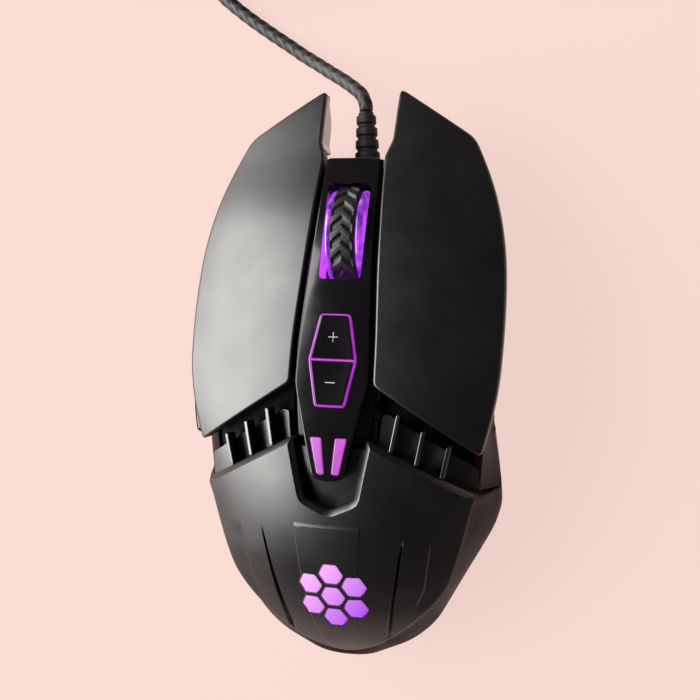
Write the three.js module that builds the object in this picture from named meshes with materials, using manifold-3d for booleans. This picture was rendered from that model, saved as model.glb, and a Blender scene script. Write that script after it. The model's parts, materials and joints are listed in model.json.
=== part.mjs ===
// A wired computer mouse as separate pieces, with its cable wound up in front of it.
// Millimetres, +Z up, +Y towards the cable, +X to the right hand side, floor at z = 0.
import * as THREE from 'three';
import { mergeVertices } from 'three/addons/utils/BufferGeometryUtils.js';
import Module from 'manifold-3d';

const wasm = await Module();
wasm.setup();

// Driving dimensions
const GAP = 0.3; // between fixed neighbours
const FOOT_THICK = 0.7;
const SHELL_BOTTOM = FOOT_THICK + GAP;
const FLOOR_TOP = SHELL_BOTTOM + 2;
const WALL = 1.9; // side walls and dome
const SPLIT = 11; // height where the bottom shell ends
const COVER_THICK = 2; // button covers and spine
const SKIRT_DEEP = 3.8; // rim below the top face of a button cover
const SKIRT_THICK = 1.5;
const FRAME_TOP = -4.9; // mid frame, measured from the outer top surface
const FRAME_BOTTOM = -6.7;
const BOARD_BOTTOM = 5.8;
const BOARD_TOP = BOARD_BOTTOM + 1.4;
const ON_BOARD = BOARD_TOP + GAP;
const WHEEL_Y = 30.2;
const WHEEL_Z = 22.6;
const WHEEL_R = 11;
const HINGE_Y = 5;
const HINGE_Z = 29.2;
const SWITCH_X = 12.5;
const SWITCH_Y = 39.4;
const DPI_Y = 4.4;
const EMBLEM_Y = -45.5;
const CORD_R = 1.6;
const EXIT_Y = 47; // where the strain relief passes the front wall
const EXIT_Z = 8.4;
const EXIT_TURN = 0.07; // it leans a little to the left
const COIL_X = -33.1;
const COIL_Y = 118.4;
const COIL_R = 18.6; // mean radius of the wound turns
const COIL_HALF = 6.7; // half the width of the bundle
const COIL_HIGH = 13.4;
const BOSS_TOP = BOARD_BOTTOM - 0.7; // screw bosses stop below the board
const SCREW_HOLE_TOP = 12.5;
const SCREW_HEAD_R = 3; // recess for a screw head
const SCREW_R = 1.5; // hole for its thread
const LENS_R = 9.2; // carrier disc of the emblem light
const EMBLEM_PITCH = 5.4;
const EMBLEM_HOLE_R = 2.75;
const EMBLEM_POST_R = 2.4;
const TIE_WIDE = 9;

// Height of the top surface along the middle, rear to front: [y, z]
const CREST = [
  [-68, 5], [-63, 13.8], [-57, 21], [-48, 28], [-36, 34], [-22, 37.6], [-9, 38.6],
  [5, 37.2], [20, 33.9], [34, 29.6], [48, 23.6], [63, 17.4], [70, 14],
];

// Outlines of the right half, from above: [x, y]
const COVER = [
  [8.3, 63.8], [7.9, 51.2], [6.6, 47.6], [7.5, 24.7], [8.4, 8.4], [8.5, -0.4], [29.8, -14.2],
  [31.8, -6], [32.9, 1], [33.3, 9], [33.4, 18], [33, 26], [32, 33], [30.4, 39.6],
  [28.3, 45.6], [25.2, 52.5],
];
const SPINE = [
  [0, -20.2], [3.3, -19.4], [5.9, -7.2], [7.6, -0.2], [6.9, 14], [6.3, 30], [5.8, 47.3], [0, 47.3],
];
const RIDGE = [
  [0, -63], [5.5, -62.6], [15.6, -57.6], [20.6, -53], [25.6, -43], [29.2, -36.5], [32.6, -30],
  [33.6, -25], [32.4, -16], [30.4, -5], [29.6, 8], [30.2, 22], [29.2, 34], [26.8, 43],
  [22, 49.8], [11.2, 55.5], [10.6, 50.3], [8.2, 47.5], [0, 47.5],
];
const PALM_EDGE = [
  [0, -26.3], [5.2, -23.9], [7.7, -11.2], [28.9, -22.5], [40, -22.5], [40, -70], [0, -70],
];
const HEXAGON = [[5, 0], [3.3, 9.5], [-3.3, 9.5], [-5, 0], [-3.3, -9.5], [3.3, -9.5]];

// The cable from the strain relief to the coil, then from the coil to the plug
const CORD_START = [
  [-0.97, 60.8, 8.4], [-1.1, 62.3, 8.3], [-2.3, 64.8, 7.6], [-4.6, 66.9, 6.4], [-7.4, 69, 5.2],
  [-10.6, 71.1, 4], [-14, 73.4, 2.8], [-17.9, 75.9, 2], [-22, 78.7, 1.65], [-27, 82, 1.65],
  [-33, 86.2, 1.65], [-39, 91, 1.65], [-44.2, 96, 1.65], [-48.6, 100.7, 1.65],
];
const CORD_END = [
  [-20.7, 139.1, 11.6], [-16.5, 136.5, 10.8], [-12.2, 133.8, 9], [-8.2, 131.2, 7],
  [-4.6, 128.8, 5.4], [-1, 126.3, 4.4], [2.4, 123.9, 4.05], [4.4, 122.4, 4],
];
const PLUG_TURN = -0.645; // heading of the plug, radians from +X

// Numbers and outlines

function smooth(points) {
  return (value) => {
    let i = 1;
    while (i < points.length - 2 && value > points[i][0]) i += 1;
    const [[xa, ya], [xb, yb]] = [points[i - 1], points[i]];
    const before = points[Math.max(i - 2, 0)];
    const after = points[Math.min(i + 1, points.length - 1)];
    const slopeA = (yb - before[1]) / (xb - before[0]);
    const slopeB = (after[1] - ya) / (after[0] - xa);
    const run = xb - xa;
    const t = (value - xa) / run;
    const a = (2 * t - 3) * t * t + 1;
    const b = ((t - 2) * t + 1) * t * run;
    const c = (3 - 2 * t) * t * t;
    const d = (t - 1) * t * t * run;
    return a * ya + b * slopeA + c * yb + d * slopeB;
  };
}

const crest = smooth(CREST);

// The top surface sags away from the middle, more so behind the buttons
function top(x, y) {
  const t = Math.min(Math.max((5 - y) / 41, 0), 1);
  const sag = 0.0068 + 0.0057 * t * t * (3 - 2 * t);
  return crest(y) - sag * x * x;
}

function area(points) {
  return points.reduce((sum, [x, y], i) => {
    const [u, v] = points[(i + 1) % points.length];
    return sum + (x * v - u * y) / 2;
  }, 0);
}

function anticlockwise(points) {
  return area(points) > 0 ? points : [...points].reverse();
}

function mirror(points) {
  return points.map(([x, y]) => [-x, y]);
}

// A half outline that starts and ends on the middle line becomes a whole one
function whole(half) {
  return anticlockwise([...half, ...mirror(half).reverse().filter(([x]) => x < 0)]);
}

// Moves every side of an outline inwards by the distance, or outwards if it is negative
function inset(outline, distance) {
  const points = anticlockwise(outline);
  return points.map(([x, y], i) => {
    const [px, py] = points[(i + points.length - 1) % points.length];
    const [nx, ny] = points[(i + 1) % points.length];
    const a = new THREE.Vector2(x - px, y - py).normalize();
    const b = new THREE.Vector2(nx - x, ny - y).normalize();
    const normal = new THREE.Vector2(-a.y - b.y, a.x + b.x).normalize();
    const reach = distance / Math.max(0.35, normal.dot(new THREE.Vector2(-a.y, a.x)));
    return [x + normal.x * reach, y + normal.y * reach];
  });
}

// Solids

function solid(geometry) {
  const bare = geometry.clone();
  bare.deleteAttribute('normal');
  bare.deleteAttribute('uv');
  const merged = mergeVertices(bare, 1e-5);
  return new wasm.Manifold(new wasm.Mesh({
    numProp: 3,
    vertProperties: new Float32Array(merged.getAttribute('position').array),
    triVerts: new Uint32Array(merged.getIndex().array),
  }));
}

function geometryOf(body) {
  const mesh = body.getMesh();
  const geometry = new THREE.BufferGeometry();
  geometry.setAttribute('position', new THREE.Float32BufferAttribute(mesh.vertProperties, 3));
  geometry.setIndex([...mesh.triVerts]);
  geometry.computeVertexNormals();
  return geometry;
}

function join(...bodies) {
  return bodies.reduce((sum, body) => sum.add(body));
}

function cut(body, ...tools) {
  return tools.reduce((rest, tool) => rest.subtract(tool), body);
}

function common(...bodies) {
  return bodies.reduce((rest, body) => rest.intersect(body));
}

function prismGeometry(outline, low, high) {
  const shape = new THREE.Shape(anticlockwise(outline).map(([x, y]) => new THREE.Vector2(x, y)));
  const geometry = new THREE.ExtrudeGeometry(shape, { depth: high - low, bevelEnabled: false });
  return geometry.translate(0, 0, low);
}

function prism(outline, low = -5, high = 60) {
  return solid(prismGeometry(outline, low, high));
}

// An outline of [y, z] points pushed along X
function slice(outline, left, right) {
  const geometry = prismGeometry(outline, left, right);
  geometry.applyMatrix4(new THREE.Matrix4().set(0, 0, 1, 0, 1, 0, 0, 0, 0, 1, 0, 0, 0, 0, 0, 1));
  return solid(geometry);
}

function block(x0, x1, y0, y1, z0, z1) {
  const geometry = new THREE.BoxGeometry(x1 - x0, y1 - y0, z1 - z0);
  return solid(geometry.translate((x0 + x1) / 2, (y0 + y1) / 2, (z0 + z1) / 2));
}

function rod(x, y, low, high, radius, sides = 16) {
  const geometry = new THREE.CylinderGeometry(radius, radius, high - low, sides);
  return solid(geometry.rotateX(Math.PI / 2).translate(x, y, (low + high) / 2));
}

function rodAcross(left, right, y, z, radius, sides = 20) {
  const geometry = new THREE.CylinderGeometry(radius, radius, right - left, sides);
  return solid(geometry.rotateZ(Math.PI / 2).translate((left + right) / 2, y, z));
}

// A profile of [radius, x] points turned round the line through y and z along X
function turned(profile, y, z, sides = 36) {
  const points = profile.map(([radius, along]) => new THREE.Vector2(radius, along));
  const geometry = new THREE.LatheGeometry(points, sides);
  return solid(geometry.rotateZ(-Math.PI / 2).translate(0, y, z));
}

// The space between two surfaces that lie at the given heights from the top surface
function slab(high, low) {
  const step = 5;
  const columns = 16;
  const rows = 28;
  const positions = [];
  const faces = [];
  const at = (layer, i, j) => layer * columns * rows + j * columns + i;
  for (const offset of [low, high]) {
    for (let j = 0; j < rows; j += 1) {
      for (let i = 0; i < columns; i += 1) {
        const x = (i - (columns - 1) / 2) * step;
        const y = -67.5 + j * step;
        positions.push(x, y, top(x, y) + offset);
      }
    }
  }
  const quad = (...corners) => {
    const [a, b, c, d] = corners.map((corner) => at(...corner));
    faces.push(a, b, c, a, c, d);
  };
  for (let j = 0; j < rows - 1; j += 1) {
    for (let i = 0; i < columns - 1; i += 1) {
      quad([1, i, j], [1, i + 1, j], [1, i + 1, j + 1], [1, i, j + 1]);
      quad([0, i, j], [0, i, j + 1], [0, i + 1, j + 1], [0, i + 1, j]);
    }
  }
  for (let i = 0; i < columns - 1; i += 1) {
    const end = rows - 1;
    quad([0, i, 0], [0, i + 1, 0], [1, i + 1, 0], [1, i, 0]);
    quad([0, i + 1, end], [0, i, end], [1, i, end], [1, i + 1, end]);
  }
  for (let j = 0; j < rows - 1; j += 1) {
    const end = columns - 1;
    quad([0, 0, j + 1], [0, 0, j], [1, 0, j], [1, 0, j + 1]);
    quad([0, end, j], [0, end, j + 1], [1, end, j + 1], [1, end, j]);
  }
  const geometry = new THREE.BufferGeometry();
  geometry.setAttribute('position', new THREE.Float32BufferAttribute(positions, 3));
  geometry.setIndex(faces);
  return solid(geometry);
}

function below(offset) {
  return slab(offset, offset - 50);
}

// A closed body through outlines that have the same number of points: [z, outline]
function loft(levels) {
  const count = levels[0][1].length;
  const positions = levels.flatMap(([z, outline]) => outline.flatMap(([x, y]) => [x, y, z]));
  const faces = [];
  for (let k = 0; k < levels.length - 1; k += 1) {
    for (let i = 0; i < count; i += 1) {
      const [a, b] = [k * count + i, k * count + ((i + 1) % count)];
      faces.push(a, b, b + count, a, b + count, a + count);
    }
  }
  const capOf = (outline) => THREE.ShapeUtils.triangulateShape(
    outline.map(([x, y]) => new THREE.Vector2(x, y)),
    [],
  );
  const last = (levels.length - 1) * count;
  for (const [a, b, c] of capOf(levels[0][1])) faces.push(a, c, b);
  for (const [a, b, c] of capOf(levels.at(-1)[1])) faces.push(a + last, b + last, c + last);
  const geometry = new THREE.BufferGeometry();
  geometry.setAttribute('position', new THREE.Float32BufferAttribute(positions, 3));
  geometry.setIndex(faces);
  return solid(geometry);
}

// The side wall leans in above its ridge, from the thumb rest backwards
function shoulder(half) {
  return half.map(([x, y]) => {
    const t = Math.min(Math.max((-4 - y) / 20, 0), 1);
    const lean = 4.6 * t * Math.min(1, x / 18);
    return [x - lean, y + (y < -50 ? 2 : 0) * Math.min(1, x / 10)];
  });
}

function hull(wall, low) {
  const ridge = whole(RIDGE);
  const upper = whole(shoulder(RIDGE));
  return loft([
    [low, inset(ridge, wall + 1.6)],
    [4.5, inset(ridge, wall + 0.4)],
    [14, inset(ridge, wall)],
    [30, inset(upper, wall)],
    [48, inset(upper, wall)],
  ]);
}

const outerHull = hull(0, SHELL_BOTTOM);
const innerHull = hull(WALL, FLOOR_TOP);
const domeSkin = cut(common(outerHull, below(0)), common(innerHull, below(-WALL - 0.3)));

// Frame of the resolution buttons, tilted to the surface they sit in
const DPI_SLOPE = Math.atan2(crest(DPI_Y - 9) - crest(DPI_Y + 9), 18);
const dpiMatrix = new THREE.Matrix4()
  .makeTranslation(0, DPI_Y, top(0, DPI_Y) - 0.4)
  .multiply(new THREE.Matrix4().makeRotationX(-DPI_SLOPE));

function dpiPrism(outline, low, high) {
  return solid(prismGeometry(outline, low, high).applyMatrix4(dpiMatrix));
}

const UPPER_HALF = [[5, -0.35], [3.3, 9.5], [-3.3, 9.5], [-5, -0.35]];
const upperWindow = inset(UPPER_HALF, 0.6);
const lowerWindow = upperWindow.map(([x, y]) => [x, -y]);

// The object and its materials

const mouse = new THREE.Group();
const turnedGroup = new THREE.Group();
turnedGroup.applyMatrix4(dpiMatrix);
mouse.add(turnedGroup);

function finish(color, roughness, metalness = 0, glow = 0x000000) {
  return new THREE.MeshStandardMaterial({ color, roughness, metalness, emissive: glow });
}

const satinBlack = finish(0x17161a, 0.55);
const glossBlack = finish(0x08080a, 0.12);
const sideBlack = finish(0x1a1214, 0.35);
const innerBlack = finish(0x1c1c1e, 0.6);
const lit = finish(0xb45ae0, 0.35, 0, 0xa030e0);
const clear = finish(0xd8dde2, 0.1);
const rubber = finish(0x1b1b1d, 0.85);
const steel = finish(0xb4b6ba, 0.3, 1);
const board = finish(0x1d4a30, 0.5);
const chip = finish(0x202022, 0.5);
const nylon = finish(0xe9e7e2, 0.5);
const switchRed = finish(0xa32b22, 0.45);
const braid = finish(0x121113, 0.9);

function add(name, body, material, parent = mouse) {
  const mesh = new THREE.Mesh(body.isBufferGeometry ? body : geometryOf(body), material);
  mesh.name = name;
  parent.add(mesh);
}

// Casing

const SCREWS = [[-16, -40], [16, -40], [-17.5, 11.2], [17.5, 11.2]];

function bottomShell() {
  const tray = cut(common(outerHull, block(-50, 50, -80, 80, 0, SPLIT)), innerHull);
  const bosses = SCREWS.map(([x, y]) => rod(x, y, SHELL_BOTTOM, BOSS_TOP, 4.3));
  const pegs = [[-12, -22], [12, -22], [-12, 22], [12, 22]].map(
    ([x, y]) => rod(x, y, SHELL_BOTTOM, BOARD_BOTTOM - GAP, 1.6, 10),
  );
  const holes = SCREWS.flatMap(([x, y]) => [
    rod(x, y, 0, SHELL_BOTTOM + 2.1, SCREW_HEAD_R),
    rod(x, y, 0, BOARD_BOTTOM, SCREW_R, 12),
  ]);
  const window = block(-5, 5, -3.5, 3.5, 0, FLOOR_TOP + 1);
  const cableExit = slice([[44, 5.2], [49, 5.2], [49, SPLIT + 1], [44, SPLIT + 1]], -3.3, 3.3);
  return cut(join(tray, ...bosses, ...pegs), ...holes, window, cableExit);
}

function sidePanel(side) {
  const reach = side > 0 ? [7.2, 40] : [-40, -7.2];
  const zone = block(...reach, -21.3, 60, SPLIT + GAP, 60);
  const panel = common(cut(outerHull, innerHull), zone, below(-5.1));
  return side > 0 ? panel : cut(panel, thumbWindow());
}

function hexagon(x, y, radius) {
  return Array.from({ length: 6 }, (_, i) => {
    const angle = (i * Math.PI) / 3;
    return [x + radius * Math.cos(angle), y + radius * Math.sin(angle)];
  });
}

function emblemCentres() {
  const ring = Array.from({ length: 6 }, (_, i) => {
    const angle = ((i + 0.5) * Math.PI) / 3;
    return [EMBLEM_PITCH * Math.cos(angle), EMBLEM_Y + EMBLEM_PITCH * Math.sin(angle)];
  });
  return [[0, EMBLEM_Y], ...ring];
}

// One of the three upright fins in the vent behind a button cover, numbered outwards
function ventFin(side, number) {
  const half = 0.45;
  const x = side * (13.7 + 4.9 * number);
  const rearX = x - side * 1.3;
  const front = -6.2 - 3.1 * number;
  const rear = front - 7.4 + 0.5 * number;
  const outline = [[x - half, front], [x + half, front], [rearX + half, rear], [rearX - half, rear]];
  return common(prism(outline), slab(-0.9, -5.4));
}

function palmShell() {
  const plan = whole(PALM_EDGE);
  const dome = common(domeSkin, prism(plan, SPLIT + GAP));
  const rim = common(cut(prism(plan), prism(inset(plan, 1.8))), slab(-0.02, -6.8), outerHull);
  const half = [[9.2, -13.5], [9.9, -3.6], [11, -3.2], [26.6, -13.3], [26.6, -23.5]];
  const shelves = [half, mirror(half)].map((outline) => common(prism(outline), slab(-4.9, -6.8)));
  const notch = [[-9.5, -14], [9.5, -14], [9.5, -25], [0, -28.5], [-9.5, -25]];
  const pan = common(prism(notch), slab(-4.9, -6.8));
  const fins = [1, -1].flatMap((side) => [0, 1, 2].map((i) => ventFin(side, i)));
  const posts = SCREWS.slice(0, 2).map(([x, y]) => cut(
    common(rod(x, y, BOARD_BOTTOM - 0.2, 50, 2.9), below(-1)),
    rod(x, y, 0, SCREW_HOLE_TOP, SCREW_R, 12),
  ));
  const holes = emblemCentres().map(([x, y]) => prism(hexagon(x, y, EMBLEM_HOLE_R)));
  return cut(join(dome, rim, ...shelves, pan, ...fins, ...posts), ...holes);
}

function buttonCover(side) {
  const outline = side > 0 ? COVER : mirror(COVER);
  const plate = common(prism(outline), slab(0, -COVER_THICK));
  const ring = cut(prism(outline), prism(inset(outline, SKIRT_THICK)));
  const skirt = common(ring, slab(-0.02, -SKIRT_DEEP));
  const inner = side > 0 ? [7.95, 9.5] : [-9.5, -7.95];
  const nose = common(
    slice([[51.2, 30], [51.2, 13.4], [56, 10.8], [61.6, 15.6], [61.6, 30]], ...inner),
    prism(outline),
    below(-0.6),
  );
  const post = common(rod(side * SWITCH_X, SWITCH_Y, ON_BOARD + 8.1, 40, 1.6, 12), below(-0.8));
  const lugX = side > 0 ? [12.4, 17.2] : [-17.2, -12.4];
  const lug = cut(
    common(block(...lugX, HINGE_Y - 2, HINGE_Y + 2, HINGE_Z - 1.9, 45), below(-0.8)),
    rodAcross(lugX[0] - 1, lugX[1] + 1, HINGE_Y, HINGE_Z, 1.1, 14),
  );
  return join(plate, skirt, nose, post, lug);
}

function lightBarOutline() {
  return [[-3.7, -11.2], [-1.5, -11.2], [-0.8, -18.5], [-2.2, -18.5]];
}

function spineCover() {
  const outline = whole(SPINE);
  const plate = common(prism(outline), slab(-0.2, -0.2 - COVER_THICK));
  const front = common(block(-5.7, 5.7, 45.5, 47.25, 12.6, 40), below(-0.3));
  const slot = join(
    prism([[5.1, 41], [-5.1, 41], [-4.6, 20.2], [4.6, 20.2]]),
    rodAcross(-5.1, 5.1, WHEEL_Y, WHEEL_Z, WHEEL_R + 0.7, 32),
  );
  const bars = [lightBarOutline(), mirror(lightBarOutline())].map((bar) => prism(inset(bar, -0.3)));
  return cut(join(plate, front), slot, dpiPrism(inset(HEXAGON, -0.3), -5, 5), ...bars);
}

function midFrame() {
  const outline = whole([
    [0, -11.4], [7.4, -11.4], [8.5, -0.5], [9.6, 0.4], [20.1, 0.4], [20.1, 14], [9.6, 14],
    [9.2, 17.2], [0, 17.2],
  ]);
  const plate = common(prism(outline), slab(FRAME_TOP, FRAME_BOTTOM));
  const middle = block(-5.4, 5.4, -6.6, 15.4, 0, 60);
  const brackets = [1, -1].flatMap((side) => [10.1, 18].map((x) => {
    const span = side > 0 ? [x, x + 1.6] : [-x - 1.6, -x];
    return common(
      block(...span, HINGE_Y - 2.2, HINGE_Y + 2.2, HINGE_Z - 2, 45),
      below(FRAME_TOP - 0.02),
    );
  }));
  const lugSlots = [1, -1].map((side) => {
    const span = side > 0 ? [11.8, 17.8] : [-17.8, -11.8];
    return block(...span, HINGE_Y - 2.8, HINGE_Y + 2.8, 0, 60);
  });
  const pins = [1, -1].map((side) => (
    rodAcross(side * 15 - 6, side * 15 + 6, HINGE_Y, HINGE_Z, 1.12, 14)
  ));
  const posts = SCREWS.slice(2).map(([x, y]) => cut(
    common(rod(x, y, BOARD_BOTTOM - 0.2, 50, 2.6), below(FRAME_TOP - 0.1)),
    rod(x, y, 0, SCREW_HOLE_TOP, SCREW_R, 12),
  ));
  return cut(join(cut(plate, middle), ...brackets, ...posts), ...lugSlots, ...pins);
}

// Thumb buttons: outlines seen from the side, [y, z], below the edge of the left cover

function thumbEdge(y) {
  return top(31, y) - 6.4;
}

function thumbOutline(rear, front) {
  const middle = (rear + front) / 2;
  const high = [front, middle, rear].map((y) => [y, thumbEdge(y)]);
  const low = [rear + 0.6, middle, front - 0.6].map((y) => [y, thumbEdge(y) - 5.6]);
  return [...high, ...low];
}

const THUMBS = { thumb_front: [3.3, 19.6], thumb_rear: [-13.6, 1.5] };

function thumbWindow() {
  const spans = Object.values(THUMBS).map(([rear, front]) => (
    slice(inset(thumbOutline(rear, front), -0.5), -40, -26.5)
  ));
  return join(...spans);
}

function thumbButton([rear, front]) {
  const outline = thumbOutline(rear, front);
  const cap = slice(outline, -34.3, -28.6);
  const face = slice(inset(outline, 0.9), -34.8, -34);
  const middle = (rear + front) / 2;
  const z = thumbEdge(middle) - 2.8;
  const stem = block(-29, -27.4, middle - 1.2, middle + 1.2, z - 1, z + 1);
  return join(cap, face, stem);
}

// Switches: a body with a well, and the plunger that stands in it

function microSwitch(x, y, z) {
  return cut(
    block(x - 2.9, x + 2.9, y - 5.8, y + 5.8, z, z + 6.5),
    block(x - 1.1, x + 1.1, y - 1.6, y + 1.6, z + 4.6, z + 8),
  );
}

function addClickSwitch(side, name) {
  add(`${name}_switch`, microSwitch(side * SWITCH_X, SWITCH_Y, ON_BOARD), chip);
  const low = ON_BOARD + 5.9;
  const x = side * SWITCH_X;
  add(
    `${name}_plunger`,
    block(x - 0.8, x + 0.8, SWITCH_Y - 1.3, SWITCH_Y + 1.3, low, ON_BOARD + 7.8),
    switchRed,
  );
}

function addThumbSwitch([rear, front], name) {
  const middle = (rear + front) / 2;
  const z = thumbEdge(middle) - 2.8;
  add(`${name}_switch`, cut(
    block(-26.2, -21.8, middle - 3, middle + 3, z - 3, z + 3),
    block(-30, -24.4, middle - 1.2, middle + 1.2, z - 1.2, z + 1.2),
  ), chip);
  const plunger = block(-27.1, -25.6, middle - 0.8, middle + 0.8, z - 0.8, z + 0.8);
  add(`${name}_plunger`, plunger, switchRed);
}

// Scroll wheel

function wheelTyre() {
  const [seat, edge] = [WHEEL_R - 2, WHEEL_R - 0.5];
  const half = [[seat, 2.5], [edge, 2.5], [WHEEL_R, 1.5]];
  const other = half.map(([radius, along]) => [radius, -along]);
  return turned([...other, ...[...half].reverse(), other[0]], WHEEL_Y, WHEEL_Z);
}

function wheelHub() {
  const rim = WHEEL_R - 0.9;
  const half = [[1.6, 4.2], [rim - 0.4, 4.2], [rim, 3.7], [rim, 2.8], [WHEEL_R - 2.3, 2.8]];
  const other = half.map(([radius, along]) => [radius, -along]);
  return turned([...other, ...[...half].reverse(), other[0]], WHEEL_Y, WHEEL_Z);
}

function wheelCarriage() {
  const plates = [-7.6, 6.3].map((x) => cut(
    block(x, x + 1.3, WHEEL_Y - 3.4, WHEEL_Y + 3.4, 9, WHEEL_Z + 2.4),
    rodAcross(x - 1, x + 3, WHEEL_Y, WHEEL_Z, 1.5, 16),
  ));
  const base = block(-5.9, 5.9, 17.2, WHEEL_Y + 3.4, 9, 10.2);
  const foot = block(-7.6, 7.6, WHEEL_Y - 3.4, WHEEL_Y + 3.4, 9, 10.2);
  const riser = block(-2.4, 2.4, 17.2, 18.4, 10.1, 14.6);
  const tongue = block(-2.4, 2.4, 11.6, 17.4, 13.4, 14.6);
  return join(...plates, base, foot, riser, tongue);
}

function wheelGuide(side) {
  const span = (a, b) => (side > 0 ? [a, b] : [-b, -a]);
  const high = WHEEL_Z + 1;
  const back = block(...span(8.3, 9.3), WHEEL_Y - 5.4, WHEEL_Y + 5.4, ON_BOARD, high);
  const flanges = [WHEEL_Y - 5.4, WHEEL_Y + 4.1].map(
    (y) => block(...span(6.3, 9), y, y + 1.3, ON_BOARD, high),
  );
  const slot = block(...span(8, 10), WHEEL_Y - 1.9, WHEEL_Y + 1.9, WHEEL_Z - 2.6, high + 1);
  return cut(join(back, ...flanges), slot);
}

function wheelEncoder() {
  return cut(
    block(-13.6, -9.7, WHEEL_Y - 4.5, WHEEL_Y + 2.8, ON_BOARD, WHEEL_Z + 1),
    block(-12.6, -9, WHEEL_Y - 1.9, WHEEL_Y + 1.9, WHEEL_Z - 2.6, WHEEL_Z + 4),
  );
}

function returnSpring() {
  const low = [[20, ON_BOARD], [22, ON_BOARD], [25, 8], [28, ON_BOARD], [30, ON_BOARD]];
  const high = [...low].reverse().map(([y, z]) => [y, z + 0.3]);
  return slice([...low, ...high], -3.4, -1.8);
}

// Cable, coil and plug

function tubeAlong(points, radius, steps) {
  const places = points.map((p) => new THREE.Vector3(...p));
  const path = new THREE.CatmullRomCurve3(places, false, 'centripetal');
  const section = new THREE.Shape();
  const sides = 8;
  for (let i = 0; i < sides; i += 1) {
    const angle = (2 * Math.PI * (i + 0.5)) / sides;
    const [x, y] = [radius * Math.cos(angle), radius * Math.sin(angle)];
    if (i === 0) section.moveTo(x, y);
    else section.lineTo(x, y);
  }
  const settings = { extrudePath: path, steps, bevelEnabled: false };
  return solid(new THREE.ExtrudeGeometry(section, settings));
}

function strainRelief() {
  const ribs = [49.5, 52.3, 55.1, 57.9].flatMap(
    (y, i) => [[2.9 - 0.2 * i, y], [2.85 - 0.2 * i, y + 1.6], [2.3 - 0.15 * i, y + 1.9]],
  );
  const profile = [
    [0, 43], [3.9, 43], [3.9, 44.9], [2.9, 44.9], [2.9, 48.6], [2.4, 49.2], ...ribs,
    [1.8, 60.4], [0, 60.4],
  ];
  const points = profile.map(([radius, along]) => new THREE.Vector2(radius, along));
  const geometry = new THREE.LatheGeometry(points, 20).translate(0, -EXIT_Y, 0);
  return solid(geometry.rotateZ(EXIT_TURN).translate(0, EXIT_Y, EXIT_Z));
}

function coilRing() {
  const [near, far, high, soft] = [COIL_R - COIL_HALF, COIL_R + COIL_HALF, COIL_HIGH, 1.6];
  const profile = [
    [near + soft, 0], [far - soft, 0], [far, soft], [far, high - soft], [far - soft, high],
    [near + soft, high], [near, high - soft], [near, soft], [near + soft, 0],
  ].map(([radius, z]) => new THREE.Vector2(radius, z));
  const ring = new THREE.LatheGeometry(profile, 40).rotateX(Math.PI / 2);
  const channels = [[CORD_START, 44], [CORD_END, 14]].map(([points, steps]) => (
    tubeAlong(points, CORD_R + 0.5, steps)
  ));
  return cut(solid(ring.translate(COIL_X, COIL_Y, 0)), tieBlock(0.35), ...channels);
}

// The tie goes round the bundle on the side of the coil away from the mouse
function tieBlock(spare) {
  const x = COIL_X;
  const near = COIL_Y + COIL_R - COIL_HALF;
  const far = COIL_Y + COIL_R + COIL_HALF;
  const wide = TIE_WIDE / 2 + spare;
  const outer = block(x - wide, x + wide, near - 1 - spare, far + 1 + spare, -spare, COIL_HIGH + 1);
  const hollow = block(
    x - wide - 1,
    x + wide + 1,
    near - 0.4 + spare,
    far + 0.4 - spare,
    0.5 + spare,
    COIL_HIGH - 0.1 - spare,
  );
  return cut(outer, hollow);
}

function plugPiece(geometry) {
  return solid(geometry.rotateZ(PLUG_TURN).translate(...CORD_END.at(-1)));
}

function boxAt(x0, x1, wide, low, high) {
  return new THREE.BoxGeometry(x1 - x0, wide, high - low).translate((x0 + x1) / 2, 0, (low + high) / 2);
}

function plugBody() {
  const grip = [[8, -4.2], [12, -7.4], [29, -7.8], [29, 7.8], [12, 7.4], [8, 4.2]];
  const body = plugPiece(prismGeometry(grip, -4, 4));
  const neck = new THREE.CylinderGeometry(3.2, 2.3, 8.6, 14);
  return join(body, plugPiece(neck.rotateZ(-Math.PI / 2).translate(4.6, 0, 0)));
}

function plugShell() {
  return cut(plugPiece(boxAt(29.3, 41.3, 12, -2.25, 2.25)), plugPiece(boxAt(30, 43, 11.3, -1.9, 1.9)));
}

// Assembly

add('bottom_shell', bottomShell(), satinBlack);
add('palm_shell', palmShell(), satinBlack);
add('left_button', buttonCover(-1), satinBlack);
add('right_button', buttonCover(1), satinBlack);
add('left_side_panel', sidePanel(-1), sideBlack);
add('right_side_panel', sidePanel(1), sideBlack);
add('spine_cover', spineCover(), glossBlack);
add('mid_frame', midFrame(), innerBlack);
add('left_hinge_pin', rodAcross(-19.9, -9.8, HINGE_Y, HINGE_Z, 0.8, 10), steel);
add('right_hinge_pin', rodAcross(9.8, 19.9, HINGE_Y, HINGE_Z, 0.8, 10), steel);

const FRONT_FOOT = [[0, 44.6], [14, 44.6], [20, 39.5], [18, 37], [13, 41], [0, 41]];
const REAR_FOOT = [[0, -58], [13.5, -58], [17.5, -52.5], [15.5, -51], [13, -54.5], [0, -54.5]];
add('front_foot', prism(whole(FRONT_FOOT), 0, FOOT_THICK), nylon);
add('rear_foot', prism(whole(REAR_FOOT), 0, FOOT_THICK), nylon);

SCREWS.forEach(([x, y], i) => {
  const head = rod(x, y, SHELL_BOTTOM + 0.3, SHELL_BOTTOM + 1.8, 2.6, 14);
  add(`case_screw_${i + 1}`, join(head, rod(x, y, SHELL_BOTTOM + 1.7, 11.8, 1.15, 10)), steel);
});

// Electronics on the main board

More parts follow.
